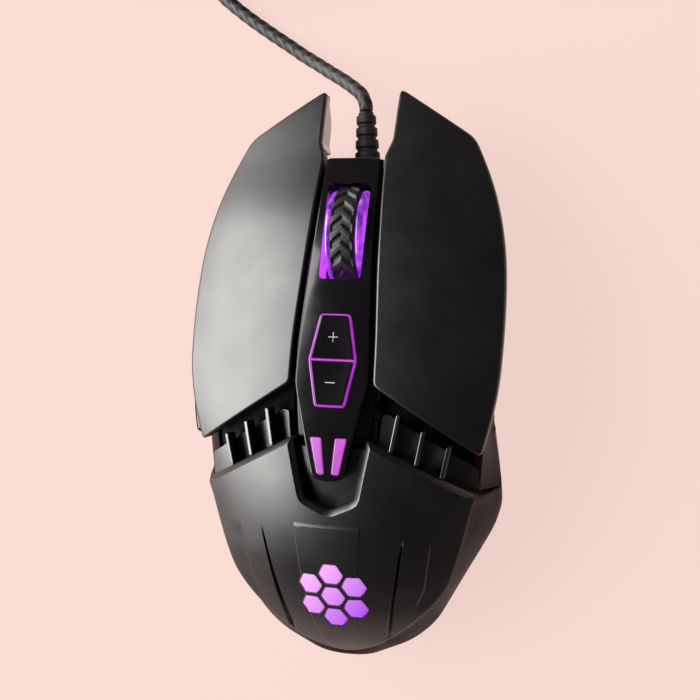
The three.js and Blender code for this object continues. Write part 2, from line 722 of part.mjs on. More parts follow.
const MAIN_BOARD = [[0, -30], [16.2, -30], [16.2, 45.2], [9, 45.2], [9, 42.4], [0, 42.4]];
add('main_board', cut(
  prism(whole(MAIN_BOARD), BOARD_BOTTOM, BOARD_TOP),
  block(-3.4, 3.4, -3.4, 3.4, 0, 20),
  ...SCREWS.slice(2).map(([x, y]) => rod(x, y, 0, 20, 3.1)),
), board);
add('sensor_lens', join(
  block(-8, 8, -6, 6, FLOOR_TOP + GAP, BOARD_BOTTOM - 0.9),
  block(-4.6, 4.6, -3.1, 3.1, SHELL_BOTTOM + 0.3, FLOOR_TOP + 0.5),
), clear);
add('optical_sensor', block(-5, 5, -6, 6, ON_BOARD, ON_BOARD + 2.4), chip);
add('controller_chip', block(-4.5, 4.5, -19, -10, ON_BOARD, ON_BOARD + 1.6), chip);
add('cable_socket', block(10.2, 14.6, 22, 31, ON_BOARD, ON_BOARD + 5), nylon);
addClickSwitch(-1, 'left');
addClickSwitch(1, 'right');
add('emblem_led', block(-2.5, 2.5, -28.6, -24.6, ON_BOARD, ON_BOARD + 1.5), nylon);

// Scroll wheel and its press carriage

add('wheel_tyre', wheelTyre(), rubber);
add('wheel_hub', wheelHub(), lit);
add('wheel_axle', rodAcross(-12.2, 7.95, WHEEL_Y, WHEEL_Z, 1.2, 16), steel);
add('wheel_carriage', wheelCarriage(), nylon);
add('wheel_guide_left', wheelGuide(-1), innerBlack);
add('wheel_guide_right', wheelGuide(1), innerBlack);
add('wheel_encoder', wheelEncoder(), chip);
add('wheel_spring', returnSpring(), steel);
add('wheel_switch', cut(
  block(-3, 3, 11.2, 16.8, ON_BOARD, ON_BOARD + 4.4),
  block(-1.3, 1.3, 12.7, 15.3, ON_BOARD + 2.6, 20),
), chip);
add('wheel_plunger', block(-1, 1, 13, 15, ON_BOARD + 3.5, 13.1), switchRed);

// Resolution buttons, their light ring and board

function dpiButton(window, y) {
  const stem = [[1.2, y - 1.2], [1.2, y + 1.2], [-1.2, y + 1.2], [-1.2, y - 1.2]];
  return geometryOf(join(prism(inset(window, GAP), -2.4, 0.7), prism(stem, -8.2, -2)));
}

add('dpi_up_button', dpiButton(upperWindow, 4.6), glossBlack, turnedGroup);
add('dpi_down_button', dpiButton(lowerWindow, -4.6), glossBlack, turnedGroup);
add('dpi_light_ring', geometryOf(cut(
  prism(HEXAGON, -1.8, 0.15),
  prism(upperWindow),
  prism(lowerWindow),
)), lit, turnedGroup);
for (const [name, y] of [['up', 4.6], ['down', -4.6]]) {
  add(`dpi_${name}_switch`, geometryOf(cut(
    prism([[3, y - 3], [3, y + 3], [-3, y + 3], [-3, y - 3]], -10.1, -7.3),
    prism([[1.5, y - 1.5], [1.5, y + 1.5], [-1.5, y + 1.5], [-1.5, y - 1.5]], -9.2, 0),
  )), chip, turnedGroup);
}
const DPI_BOARD = [[4.6, -10.4], [4.6, 10.4], [-4.6, 10.4], [-4.6, -10.4]];
add('dpi_board', prismGeometry(DPI_BOARD, -11.4, -10.4), board, turnedGroup);

// Lights in the top

add('light_bar_left', common(prism(lightBarOutline()), slab(-0.25, -3.4)), lit);
add('light_bar_right', common(prism(mirror(lightBarOutline())), slab(-0.25, -3.4)), lit);
add('emblem_lens', join(
  common(rod(0, EMBLEM_Y, 5, 50, LENS_R, 24), slab(-2.7, -4.1)),
  ...emblemCentres().map(([x, y]) => (
    common(prism(hexagon(x, y, EMBLEM_POST_R)), slab(-0.15, -3.2))
  )),
), lit);

// Thumb buttons

for (const [name, span] of Object.entries(THUMBS)) {
  add(`${name}_button`, thumbButton(span), glossBlack);
  addThumbSwitch(span, name);
}
add('thumb_board', block(-21.5, -20.3, -13, 17.5, 12, 27.4), board);

// Cable

add('strain_relief', strainRelief(), rubber);
add('cable', tubeAlong(CORD_START, CORD_R, 44), braid);
add('cable_coil', coilRing(), braid);
add('cable_tail', tubeAlong(CORD_END, CORD_R, 14), braid);
add('cable_tie', tieBlock(0), rubber);
add('plug_body', plugBody(), rubber);
add('plug_shell', plugShell(), steel);
add('plug_tongue', plugPiece(boxAt(30.4, 40.6, 10.6, -0.1, 1.5)), nylon);

export default mouse;
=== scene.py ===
import json
import math

import bmesh
import bpy
import numpy as np
from mathutils import Matrix, Vector
from mathutils.geometry import delaunay_2d_cdt

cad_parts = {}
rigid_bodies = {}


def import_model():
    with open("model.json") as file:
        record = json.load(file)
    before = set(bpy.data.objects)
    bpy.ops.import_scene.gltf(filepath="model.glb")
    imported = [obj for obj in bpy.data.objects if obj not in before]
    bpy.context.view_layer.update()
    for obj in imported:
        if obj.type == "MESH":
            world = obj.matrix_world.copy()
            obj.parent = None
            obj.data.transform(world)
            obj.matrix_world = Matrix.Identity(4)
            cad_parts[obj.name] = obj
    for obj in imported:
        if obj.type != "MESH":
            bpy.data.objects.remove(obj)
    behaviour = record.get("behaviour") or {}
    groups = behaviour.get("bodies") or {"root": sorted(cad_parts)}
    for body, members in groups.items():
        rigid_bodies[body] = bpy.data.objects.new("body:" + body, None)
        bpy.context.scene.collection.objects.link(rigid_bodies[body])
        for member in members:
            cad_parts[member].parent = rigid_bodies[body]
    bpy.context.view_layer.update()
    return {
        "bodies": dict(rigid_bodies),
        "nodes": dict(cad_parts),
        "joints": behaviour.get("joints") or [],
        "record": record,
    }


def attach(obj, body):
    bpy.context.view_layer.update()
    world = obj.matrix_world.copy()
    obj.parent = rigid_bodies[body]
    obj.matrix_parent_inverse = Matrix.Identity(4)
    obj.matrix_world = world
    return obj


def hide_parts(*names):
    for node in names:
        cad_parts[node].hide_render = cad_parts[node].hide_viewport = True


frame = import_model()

MM = 0.001

# ---------------------------------------------------------------- driving sizes, in mm

FEET = 0.7                     # the bottom shell stands this high, on its feet
SPLIT = 11.15                  # height of the seam above the bottom shell
RIDGE_Z = 14.0                 # height where the sides are widest
COVER_DEEP = 3.8               # rim of a button cover
COVER_THICK = 2.0
WHEEL_Y, WHEEL_Z, WHEEL_R = 30.2, 22.6, 11.0
DPI_Y = 4.4
EMBLEM_Y = -45.5
EMBLEM_PITCH = 5.4
CORD_D = 3.2
EXIT = (0.0, 47.0, 8.4)        # middle of the strain relief in the front wall
EXIT_TURN = 0.07
COIL_X, COIL_Y, COIL_R = -33.1, 118.4, 18.6
LANE = 3.3                     # turns of the coil lie this far apart
PLUG_TURN = -0.645

# Height of the top surface along the middle, rear to front: (y, z)
CREST = [
    (-68, 5), (-63, 13.8), (-57, 21), (-48, 28), (-36, 34), (-22, 37.6), (-9, 38.6),
    (5, 37.2), (20, 33.9), (34, 29.6), (48, 23.6), (63, 17.4), (70, 14),
]

# Outlines of the right half from above: (x, y, leg), the leg being how far a corner is
# rounded off along its sides. SOFT corners blend into one curve.
SOFT = 99.0
COVER = [
    (8.3, 63.8, 1.6), (7.9, 51.2, 0.7), (6.6, 47.6, 0.7), (7.5, 24.7, 6), (8.4, 8.4, 6),
    (8.5, -0.4, 0.9), (29.8, -14.2, 1.2), (31.8, -6, SOFT), (32.9, 1, SOFT), (33.3, 9, SOFT),
    (33.4, 18, SOFT), (33, 26, SOFT), (32, 33, SOFT), (30.4, 39.6, SOFT), (28.3, 45.6, SOFT),
    (25.2, 52.5, 2.0),
]
SPINE = [
    (0, -20.2, 2), (3.3, -19.4, 1.2), (5.9, -7.2, 2), (7.6, -0.2, 2), (6.9, 14, 5), (6.3, 30, 5),
    (5.8, 47.3, 0.6), (0, 47.3, 2),
]
RIDGE = [
    (0, -63, SOFT), (5.5, -62.6, SOFT), (15.6, -57.6, 3), (20.6, -53, 2.5), (25.6, -43, 4),
    (29.2, -36.5, SOFT), (32.6, -30, SOFT), (33.6, -25, SOFT), (32.4, -16, SOFT), (30.4, -5, SOFT),
    (29.6, 8, SOFT), (30.2, 22, SOFT), (29.2, 34, SOFT), (26.8, 43, SOFT), (22, 49.8, 3),
    (11.2, 55.5, 1.2), (10.6, 50.3, 1.2), (8.2, 47.5, 1), (0, 47.5, 1),
]


def crest(y):
    i = 1
    while i < len(CREST) - 2 and y > CREST[i][0]:
        i += 1
    (xa, ya), (xb, yb) = CREST[i - 1], CREST[i]
    before, after = CREST[max(i - 2, 0)], CREST[min(i + 1, len(CREST) - 1)]
    slope_a = (yb - before[1]) / (xb - before[0])
    slope_b = (after[1] - ya) / (after[0] - xa)
    run = xb - xa
    t = (y - xa) / run
    return (((2 * t - 3) * t * t + 1) * ya + ((t - 2) * t + 1) * t * run * slope_a
            + (3 - 2 * t) * t * t * yb + (t - 1) * t * t * run * slope_b)


def ease(t):
    t = min(max(t, 0.0), 1.0)
    return t * t * (3 - 2 * t)


def top(x, y):
    """Height of the mouse's upper surface."""
    return crest(y) - (0.0068 + 0.0057 * ease((5 - y) / 41)) * x * x


# ---------------------------------------------------------------- outlines and skins


def area(points):
    return sum(a[0] * b[1] - b[0] * a[1] for a, b in zip(points, points[1:] + points[:1])) / 2


def mirror(points):
    return [(-p[0], *p[1:]) for p in reversed(points)]


def whole(half):
    """Both halves of an outline that starts and ends on the middle line."""
    return half + [p for p in mirror(half) if p[0] < 0]


class Outline:
    """A closed outline with rounded corners. Every ring of it has the same points in the same order."""

    def __init__(self, points, step=1.0, leg=1.0):
        points = [tuple(map(float, p)) for p in points]
        self.flipped = area(points) < 0
        points = points[::-1] if self.flipped else points
        self.control = [p[:2] for p in points]
        n = len(points)
        wanted = [p[2] if len(p) > 2 else leg for p in points]
        sides = [math.dist(self.control[i], self.control[(i + 1) % n]) for i in range(n)]
        self.legs = [min(wanted[i], sides[i - 1] * 0.498, sides[i] * 0.498) for i in range(n)]
        self.arcs = [max(2, math.ceil(1.4 * self.legs[i] / step)) for i in range(n)]
        self.runs = [
            max(0, math.ceil((sides[i] - self.legs[i] - self.legs[(i + 1) % n]) / step) - 1)
            for i in range(n)
        ]

    def moved(self, inset):
        n = len(self.control)
        out, legs = [], []
        for i, (x, y) in enumerate(self.control):
            (px, py), (nx, ny) = self.control[i - 1], self.control[(i + 1) % n]
            a = Vector((x - px, y - py)).normalized()
            b = Vector((nx - x, ny - y)).normalized()
            normal = Vector((-a.y - b.y, a.x + b.x)).normalized()
            across = max(0.35, normal.dot(Vector((-a.y, a.x))))
            out.append((x + normal.x * inset / across, y + normal.y * inset / across))
            turn = math.atan2(a.x * b.y - a.y * b.x, a.dot(b))
            legs.append(max(0.02, self.legs[i] - inset * math.tan(turn / 2)))
        return out, legs

    def ring(self, inset=0.0, control=None):
        """Points of the outline moved inwards, as rows of as many numbers as its corners have."""
        if control is None:
            corners, legs = self.moved(inset)
        else:
            corners, legs = (control[::-1] if self.flipped else control), self.legs
        corners = [np.array(c, float) for c in corners]
        n = len(corners)
        out = []
        for i, here in enumerate(corners):
            back, on = corners[i - 1], corners[(i + 1) % n]
            long_back = np.linalg.norm((here - back)[:2]) + 1e-9
            long_on = np.linalg.norm((on - here)[:2]) + 1e-9
            leg = min(legs[i], 0.4999 * long_back, 0.4999 * long_on)
            a = here + (back - here) * leg / long_back
            b = here + (on - here) * leg / long_on
            for k in range(self.arcs[i] + 1):
                t = k / self.arcs[i]
                out.append((1 - t) ** 2 * a + 2 * t * (1 - t) * here + t * t * b)
            leg_on = min(legs[(i + 1) % n], 0.4999 * long_on)
            start, end = b, on + (here - on) * leg_on / long_on
            for k in range(1, self.runs[i] + 1):
                out.append(start + (end - start) * k / (self.runs[i] + 1))
        return np.array(out)


def inside(points, loop):
    """Which points lie inside a closed loop."""
    x, y = points[:, 0], points[:, 1]
    hit = np.zeros(len(points), bool)
    for (xa, ya), (xb, yb) in zip(loop, np.roll(loop, -1, 0)):
        if ya == yb:
            continue
        hit ^= ((ya > y) != (yb > y)) & (x < (xb - xa) * (y - ya) / (yb - ya) + xa)
    return hit


def away_from(points, line, closed=True):
    """Distance from each point to a line of points, which comes back to its start if it is closed."""
    best = np.full(len(points), 1e9)
    for p, q in zip(line, np.roll(line, -1, 0) if closed else line[1:]):
        d = q - p
        t = np.clip(((points - p) @ d) / max(d @ d, 1e-12), 0, 1)
        best = np.minimum(best, np.linalg.norm(points - (p + t[:, None] * d), axis=1))
    return best


def flat_place(x, y, z):
    return x, y, z


def slope_normal(place, height, x, y, reach=0.06):
    """Normal of the surface z = height(x, y), carried through a placing function."""
    a, b, c = [Vector(place(u, v, height(u, v))) for u, v in (
        (x - reach / 2, y - reach / 3), (x + reach / 2, y - reach / 3), (x, y + reach * 2 / 3))]
    return (b - a).cross(c - a).normalized()


ROW = 0.866                    # rows of an even triangle grid lie this many steps apart


class Skin:
    """Collects vertices and faces in mm, and welds them into one mesh."""

    def __init__(self, place=None):
        self.place = place or flat_place
        self.surfaces = []
        self.points = []
        self.faces = []
        self.found = {}
        self.slots = []
        self.slot = 0

    def point(self, p):
        p = self.place(*p)
        key = tuple(round(float(c) * 500) for c in p)
        if key not in self.found:
            self.found[key] = len(self.points)
            self.points.append(tuple(float(c) for c in p))
        return self.found[key]

    def face(self, *corners):
        ids = []
        for i in (self.point(p) for p in corners):
            if i not in ids:
                ids.append(i)
        if len(ids) > 2:
            self.faces.append(ids)
            self.slots.append(self.slot)

    def bridge(self, low, high):
        """Faces between two rings: they look outwards when the rings go anticlockwise upwards."""
        for i in range(len(low)):
            j = (i + 1) % len(low)
            self.face(low[i], low[j], high[j], high[i])

    def loft(self, rings, round_again=False):
        """Bridges each ring to the next one, and the last to the first if it goes round again."""
        following = rings[1:] + rings[:1] if round_again else rings[1:]
        for low, high in zip(rings, following):
            self.bridge(low, high)

    def fan(self, ring, middle):
        for i in range(len(ring)):
            self.face(ring[i], ring[(i + 1) % len(ring)], middle)

    def pile(self, outline, levels, low_step, high_step):
        """A closed body through rings of an outline: levels are (inset, height function), lowest first."""
        rings = [with_height(outline.ring(inset), height) for inset, height in levels]
        self.loft(rings)
        self.fill(rings[0], levels[0][1], low_step, up=False)
        self.fill(rings[-1], levels[-1][1], high_step)

    def fill(self, loop, height, step, holes=(), lines=(), up=True):
        """Triangles inside a loop, at the height of a function of x and y."""
        loop = np.array(loop)[:, :2]
        chains = [(loop, True)] + [(np.array(h)[:, :2], True) for h in holes]
        chains += [(np.array(line)[:, :2], False) for line in lines]
        points, edges = [], []
        for chain, closed in chains:
            first = len(points)
            points += [tuple(p) for p in chain]
            last = len(chain) - 1
            edges += [(first + i, first + i + 1) for i in range(last)]
            if closed:
                edges.append((first + last, first))
        lo, hi = loop.min(0), loop.max(0)
        row = step * ROW
        grid = np.array([
            (lo[0] + (i + 0.5 * (j % 2)) * step, lo[1] + j * row)
            for j in range(int((hi[1] - lo[1]) / row) + 2)
            for i in range(int((hi[0] - lo[0]) / step) + 2)
        ])
        keep = inside(grid, loop) & (away_from(grid, loop) > 0.55 * step)
        for chain, closed in chains[1:]:
            keep &= away_from(grid, chain, closed) > 0.4 * step
            if closed:
                keep &= ~inside(grid, chain)
        points += [tuple(p) for p in grid[keep]]
        verts, _, tris, sources, *_ = delaunay_2d_cdt([Vector(p) for p in points], edges, [], 0, 1e-6)
        flat = np.array([(v.x, v.y) for v in verts])
        middles = np.array([flat[list(t)].mean(0) for t in tris])
        moved = {old: new for new, group in enumerate(sources) for old in group}
        good, first = np.ones(len(tris), bool), 0
        for chain, closed in chains:
            ring = flat[[moved[first + k] for k in range(len(chain))]]
            first += len(chain)
            if closed:
                within = inside(middles, ring)
                good &= within if chain is loop else ~within
        filled = []
        self.surfaces.append((self.place, height, filled))
        for tri, use in zip(tris, good):
            if use:
                corners = [(*flat[i], height(*flat[i])) for i in tri]
                turn = np.cross(flat[tri[1]] - flat[tri[0]], flat[tri[2]] - flat[tri[0]])
                self.face(*(corners if (turn > 0) == up else corners[::-1]))
                filled.append((len(self.faces) - 1, corners))

    def build(self, name, materials, smooth=32):
        mesh = bpy.data.meshes.new(name)
        mesh.from_pydata([[c * MM for c in p] for p in self.points], [], self.faces)
        for material in materials if isinstance(materials, (list, tuple)) else [materials]:
            mesh.materials.append(material)
        mesh.polygons.foreach_set("material_index", self.slots)
        mesh.attributes.new("number", "INT", "FACE").data.foreach_set("value", range(len(self.faces)))
        tidy = bmesh.new()
        tidy.from_mesh(mesh)
        bmesh.ops.remove_doubles(tidy, verts=tidy.verts, dist=3e-6)
        bmesh.ops.dissolve_degenerate(tidy, dist=1e-6, edges=tidy.edges)
        bmesh.ops.recalc_face_normals(tidy, faces=tidy.faces)
        tidy.to_mesh(mesh)
        tidy.free()
        mesh.validate()
        piece = bpy.data.objects.new(name, mesh)
        bpy.context.scene.collection.objects.link(piece)
        mesh.shade_smooth()
        mesh.set_sharp_from_angle(angle=math.radians(smooth))
        self.true_normals(mesh)
        mesh.attributes.remove(mesh.attributes["number"])
        return piece

    def true_normals(self, mesh):
        """Shades each filled surface by the slope of its own height function."""
        normals = [Vector(n.vector) for n in mesh.corner_normals]
        polygons = {mesh.attributes["number"].data[p.index].value: p for p in mesh.polygons}
        for place, height, filled in self.surfaces:
            side, shaded = 0.0, []
            for number, corners in filled:
                if number not in polygons:
                    continue
                polygon = polygons[number]
                placed = [Vector(place(*c)) for c in corners]
                mx, my = (sum(c[k] for c in corners) / 3 for k in (0, 1))
                middle = slope_normal(place, height, mx, my)
                side += polygon.area * middle.dot(polygon.normal)
                for loop in polygon.loop_indices:
                    here = mesh.vertices[mesh.loops[loop].vertex_index].co / MM
                    x, y, _ = min(zip(corners, placed), key=lambda pair: (pair[1] - here).length)[0]
                    x, y = x + (mx - x) * 0.3, y + (my - y) * 0.3
                    shaded.append((loop, slope_normal(place, height, x, y)))
            for loop, normal in shaded:
                normals[loop] = normal if side > 0 else -normal
        mesh.normals_split_custom_set(normals)


def with_height(ring, height):
    return [(x, y, height(x, y)) for x, y in ring[:, :2]]


def over_top(offset):
    """The height function of a level over the mouse's upper surface, or under it."""
    return lambda x, y: top(x, y) + offset


def sheet_of(outline, high, fillet, deep, rim, thick, step, holes=()):
    """A moulded cover: a rounded top edge, a rim round it and a hollow underside."""
    skin = Skin()
    arcs = 5

    def level(offset):
        return lambda x, y: top(x, y) + high + offset

    under = [
        (outline.ring(rim), -thick), (outline.ring(rim), -deep),
        (outline.ring(0.15), -deep), (outline.ring(0.0), -deep + 0.15),
    ]
    rings = [with_height(ring, level(offset)) for ring, offset in under]
    for k in range(arcs + 1):
        angle = math.pi / 2 * k / arcs
        rings.append(with_height(
            outline.ring(fillet * (1 - math.cos(angle))), level(-fillet * (1 - math.sin(angle)))))
    skin.loft(rings)
    skin.fill(rings[-1], level(0), step, holes)
    skin.fill(rings[0], level(-thick), step * 2.5, holes, up=False)
    for hole in holes:
        low = [(x, y, level(-thick)(x, y)) for x, y in np.array(hole)[:, :2]]
        high_ring = [(x, y, level(0)(x, y)) for x, y in np.array(hole)[:, :2]]
        skin.bridge(high_ring, low)
    return skin


def done(piece, body, *nodes, slot=None):
    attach(piece, body)
    if nodes:
        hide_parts(*nodes)
    return piece


# ---------------------------------------------------------------- camera


def add_camera():
    camera = bpy.data.objects.new("camera", bpy.data.cameras.new("camera"))
    bpy.context.scene.collection.objects.link(camera)
    right = Vector((0.97457, 0.03390, -0.22151))
    back = Vector((0.22074, 0.02514, 0.97501)).normalized()
    right = (right - back * right.dot(back)).normalized()
    turn = Matrix((right, back.cross(right), back)).transposed()
    camera.matrix_world = Matrix.Translation((0.042802, 0.011015, 0.210002)) @ turn.to_4x4()
    camera.data.lens = 45.84
    camera.data.clip_start = 0.01
    bpy.context.scene.camera = camera


add_camera()

# ---------------------------------------------------------------- materials


class Nodes:
    """Short names for building a material's nodes."""

    def __init__(self, name):
        self.material = bpy.data.materials.new(name)
        self.material.use_nodes = True
        self.tree = self.material.node_tree
        self.shader = self.tree.nodes["Principled BSDF"]
        self.where = self.add("ShaderNodeTexCoord").outputs["Object"]

    def add(self, kind, **values):
        node = self.tree.nodes.new(kind)
        for key, value in values.items():
            setattr(node, key, value)
        return node

    def link(self, output, socket):
        self.tree.links.new(output, socket)

    def noise(self, scale, detail=3.0, rough=0.5):
        node = self.add("ShaderNodeTexNoise")
        node.inputs["Scale"].default_value = scale
        node.inputs["Detail"].default_value = detail
        node.inputs["Roughness"].default_value = rough
        self.link(self.where, node.inputs["Vector"])
        return node.outputs["Fac"]

    def cells(self, scale, feature="F1"):
        node = self.add("ShaderNodeTexVoronoi", feature=feature)
        node.inputs["Scale"].default_value = scale
        self.link(self.where, node.inputs["Vector"])
        return node.outputs["Distance"]

    def ramp(self, value, low, high, start=0.0, end=1.0):
        """value from low to high becomes start to end."""
        node = self.add("ShaderNodeMapRange")
        node.inputs["From Min"].default_value = low
        node.inputs["From Max"].default_value = high
        node.inputs["To Min"].default_value = start
        node.inputs["To Max"].default_value = end
        self.link(value, node.inputs["Value"])
        return node.outputs["Result"]

    def mix(self, value, a, b):
        node = self.add("ShaderNodeMix", data_type="RGBA")
        node.inputs["A"].default_value = (*a, 1)
        node.inputs["B"].default_value = (*b, 1)
        self.link(value, node.inputs["Factor"])
        return node.outputs["Result"]

    def bump(self, height, distance, strength=1.0):
        node = self.add("ShaderNodeBump")
        node.inputs["Distance"].default_value = distance
        node.inputs["Strength"].default_value = strength
        self.link(height, node.inputs["Height"])
        self.link(node.outputs["Normal"], self.shader.inputs["Normal"])

    def set(self, **values):
        for key, value in values.items():
            self.shader.inputs[key.replace("_", " ")].default_value = value


def moulded(name, dark, light, rough, spread, grain, grain_scale, specular=0.5, coat=0.0, coat_rough=0.1):
    """Moulded or painted plastic: fine grain, with slight changes of shade and gloss."""
    m = Nodes(name)
    m.link(m.mix(m.ramp(m.noise(60, 5), 0.35, 0.7), dark, light), m.shader.inputs["Base Color"])
    m.link(m.ramp(m.noise(140, 4), 0.3, 0.7, rough - spread, rough + spread), m.shader.inputs["Roughness"])
    m.set(Specular_IOR_Level=specular, Coat_Weight=coat, Coat_Roughness=coat_rough)
    if grain:
        m.bump(m.noise(grain_scale, 2, 0.6), grain)
    return m.material


def glowing(name, colour, glow, strength):
    """A milky light guide lit from inside, a little uneven."""
    m = Nodes(name)
    uneven = m.ramp(m.noise(220, 2), 0.3, 0.7)
    m.link(m.mix(uneven, colour, [c * 0.8 for c in colour]), m.shader.inputs["Base Color"])
    m.link(m.mix(uneven, glow, [c * (1 - 0.35) for c in glow]), m.shader.inputs["Emission Color"])
    m.set(Emission_Strength=strength, Roughness=0.3)
    return m.material


def metal(name, colour, rough):
    m = Nodes(name)
    m.link(m.mix(m.noise(300, 4), colour, [c * 0.82 for c in colour]), m.shader.inputs["Base Color"])
    m.link(m.ramp(m.noise(900, 3), 0.3, 0.7, rough * 0.7, rough * 1.3), m.shader.inputs["Roughness"])
    m.set(Metallic=1.0)
    m.bump(m.noise(1500, 2), 0.00001)
    return m.material


SATIN = moulded("satin_black", (0.0022, 0.0016, 0.0021), (0.0033, 0.0025, 0.0031), 0.37, 0.03,
                0.000012, 2600, specular=0.52)
# Side panels: black plastic with its base colour tinted maroon, a painted reflection of the pink floor.
SIDE_PAINTED_BOUNCE = moulded("side_black", (0.009, 0.0018, 0.0014), (0.013, 0.0027, 0.0022), 0.45, 0.05,
               0.00001, 2200, specular=0.08)
GLOSS = moulded("gloss_black", (0.0022, 0.0018, 0.0026), (0.0036, 0.0030, 0.0040), 0.14, 0.03,
                0.0, 1, specular=0.2, coat=0.15, coat_rough=0.05)
INNER = moulded("inner_black", (0.014, 0.014, 0.015), (0.020, 0.020, 0.021), 0.6, 0.06, 0.00001, 1800)
RUBBER = moulded("rubber_black", (0.0035, 0.0028, 0.003), (0.006, 0.005, 0.0052), 0.62, 0.06, 0.00002, 1500,
                 specular=0.35)
CHIP = moulded("chip_black", (0.02, 0.02, 0.022), (0.03, 0.03, 0.032), 0.5, 0.06, 0.00001, 1600)
FOOT = moulded("foot_film", (0.045, 0.045, 0.047), (0.06, 0.06, 0.062), 0.35, 0.05, 0.000008, 1200)
NYLON = moulded("nylon_white", (0.70, 0.68, 0.63), (0.78, 0.76, 0.72), 0.45, 0.05, 0.00001, 900)
RED = moulded("switch_red", (0.40, 0.03, 0.02), (0.48, 0.05, 0.035), 0.3, 0.05, 0.0, 1)
BOARD = moulded("board_green", (0.010, 0.07, 0.03), (0.016, 0.10, 0.045), 0.3, 0.05, 0.00001, 700, coat=0.6)
STEEL = metal("plated_steel", (0.62, 0.62, 0.64), 0.22)
LENS = moulded("clear_lens", (0.6, 0.63, 0.66), (0.7, 0.72, 0.74), 0.08, 0.03, 0.0, 1)
PURPLE = glowing("lit_purple", (0.08, 0.01, 0.10), (0.52, 0.045, 0.70), 0.85)

# ---------------------------------------------------------------- cable, coil and plug

# From the strain relief down to the floor and off to the coil, then from the coil to the plug
CORD_START = [
    (-0.97, 60.8, 8.4), (-1.1, 62.3, 8.3), (-2.3, 64.8, 7.6), (-4.6, 66.9, 6.4), (-7.4, 69, 5.2),
    (-10.6, 71.1, 4), (-14, 73.4, 2.8), (-17.9, 75.9, 2), (-22, 78.7, 1.65), (-27, 82, 1.65),
    (-33, 86.2, 1.65), (-39, 91, 1.65), (-44.2, 96, 1.65), (-48.6, 100.7, 1.65),
]
CORD_END = [
    (-20.7, 139.1, 11.6), (-16.5, 136.5, 10.8), (-12.2, 133.8, 9), (-8.2, 131.2, 7),
    (-4.6, 128.8, 5.4), (-1, 126.3, 4.4), (2.4, 123.9, 4.05), (4.4, 122.4, 4),
]


def coil_points():
    """Clockwise turns, four side by side in four layers. A turn shifts sideways over a part of its
    way, and before the last turn of a layer climbs, the turn above it has moved out of its place."""
    shift = 0.18                   # turns that a shift takes
    per_turn = 24
    start = math.atan2(CORD_START[-1][1] - COIL_Y, CORD_START[-1][0] - COIL_X)
    end = math.atan2(CORD_END[0][1] - COIL_Y, CORD_END[0][0] - COIL_X)
    turns = 14 + ((start - end) / math.tau) % 1
    sideways, upwards = [], []
    first = 1 - shift
    for layer in range(4):
        step = -LANE if layer % 2 == 0 else LANE
        sideways += [(first + k, step) for k in range(3)]
        upwards.append((first + 3 - shift, LANE))
        first += 4 - 2 * shift

    def moved(at, shifts):
        return sum(d * (1 - math.cos(math.pi * min(max((at - s) / shift, 0), 1))) / 2 for s, d in shifts)

    out = []
    for k in range(1, int(turns * per_turn)):
        at = k / per_turn
        radius = COIL_R + 1.5 * LANE + moved(at, sideways)
        angle = start - math.tau * at
        out.append((
            COIL_X + radius * math.cos(angle), COIL_Y + radius * math.sin(angle),
            CORD_D / 2 + 0.05 + moved(at, upwards[:3]),
        ))
    return out


def along_points(points, step):
    """A smooth line through the points, as places a step apart and how far along they lie."""
    points = [np.array(p, float) for p in points]
    points = [2 * points[0] - points[1]] + points + [2 * points[-1] - points[-2]]
    fine = []
    for a, b, c, d in zip(points, points[1:], points[2:], points[3:]):
        t0, t1 = 0.0, np.linalg.norm(b - a) ** 0.5
        t2 = t1 + np.linalg.norm(c - b) ** 0.5
        t3 = t2 + np.linalg.norm(d - c) ** 0.5
        for t in np.linspace(t1, t2, 13)[:-1]:
            ab = a + (b - a) * (t - t0) / (t1 - t0)
            bc = b + (c - b) * (t - t1) / (t2 - t1)
            cd = c + (d - c) * (t - t2) / (t3 - t2)
            abc = ab + (bc - ab) * (t - t0) / (t2 - t0)
            bcd = bc + (cd - bc) * (t - t1) / (t3 - t1)
            fine.append(abc + (bcd - abc) * (t - t1) / (t2 - t1))
    fine = np.array(fine + [points[-2]])
    far = np.concatenate([[0], np.cumsum(np.linalg.norm(np.diff(fine, axis=0), axis=1))])
    places = step(far[-1])
    return np.stack([np.interp(places, far, fine[:, i]) for i in range(3)], 1), places


BRAID_RUN = 3.0                # a strand's climb along the cord while it crosses half of it
BRAID_STRANDS = 4              # strands in each direction, on the half turn


def braid_wave(along, around):
    """1 on a strand, 0 in the gap, in a herringbone that folds at the two sides."""
    folded = abs((around * 2 + 0.5) % 2 - 1)
    return 0.5 - 0.5 * math.cos(math.tau * (along / BRAID_RUN + folded * BRAID_STRANDS / 2))


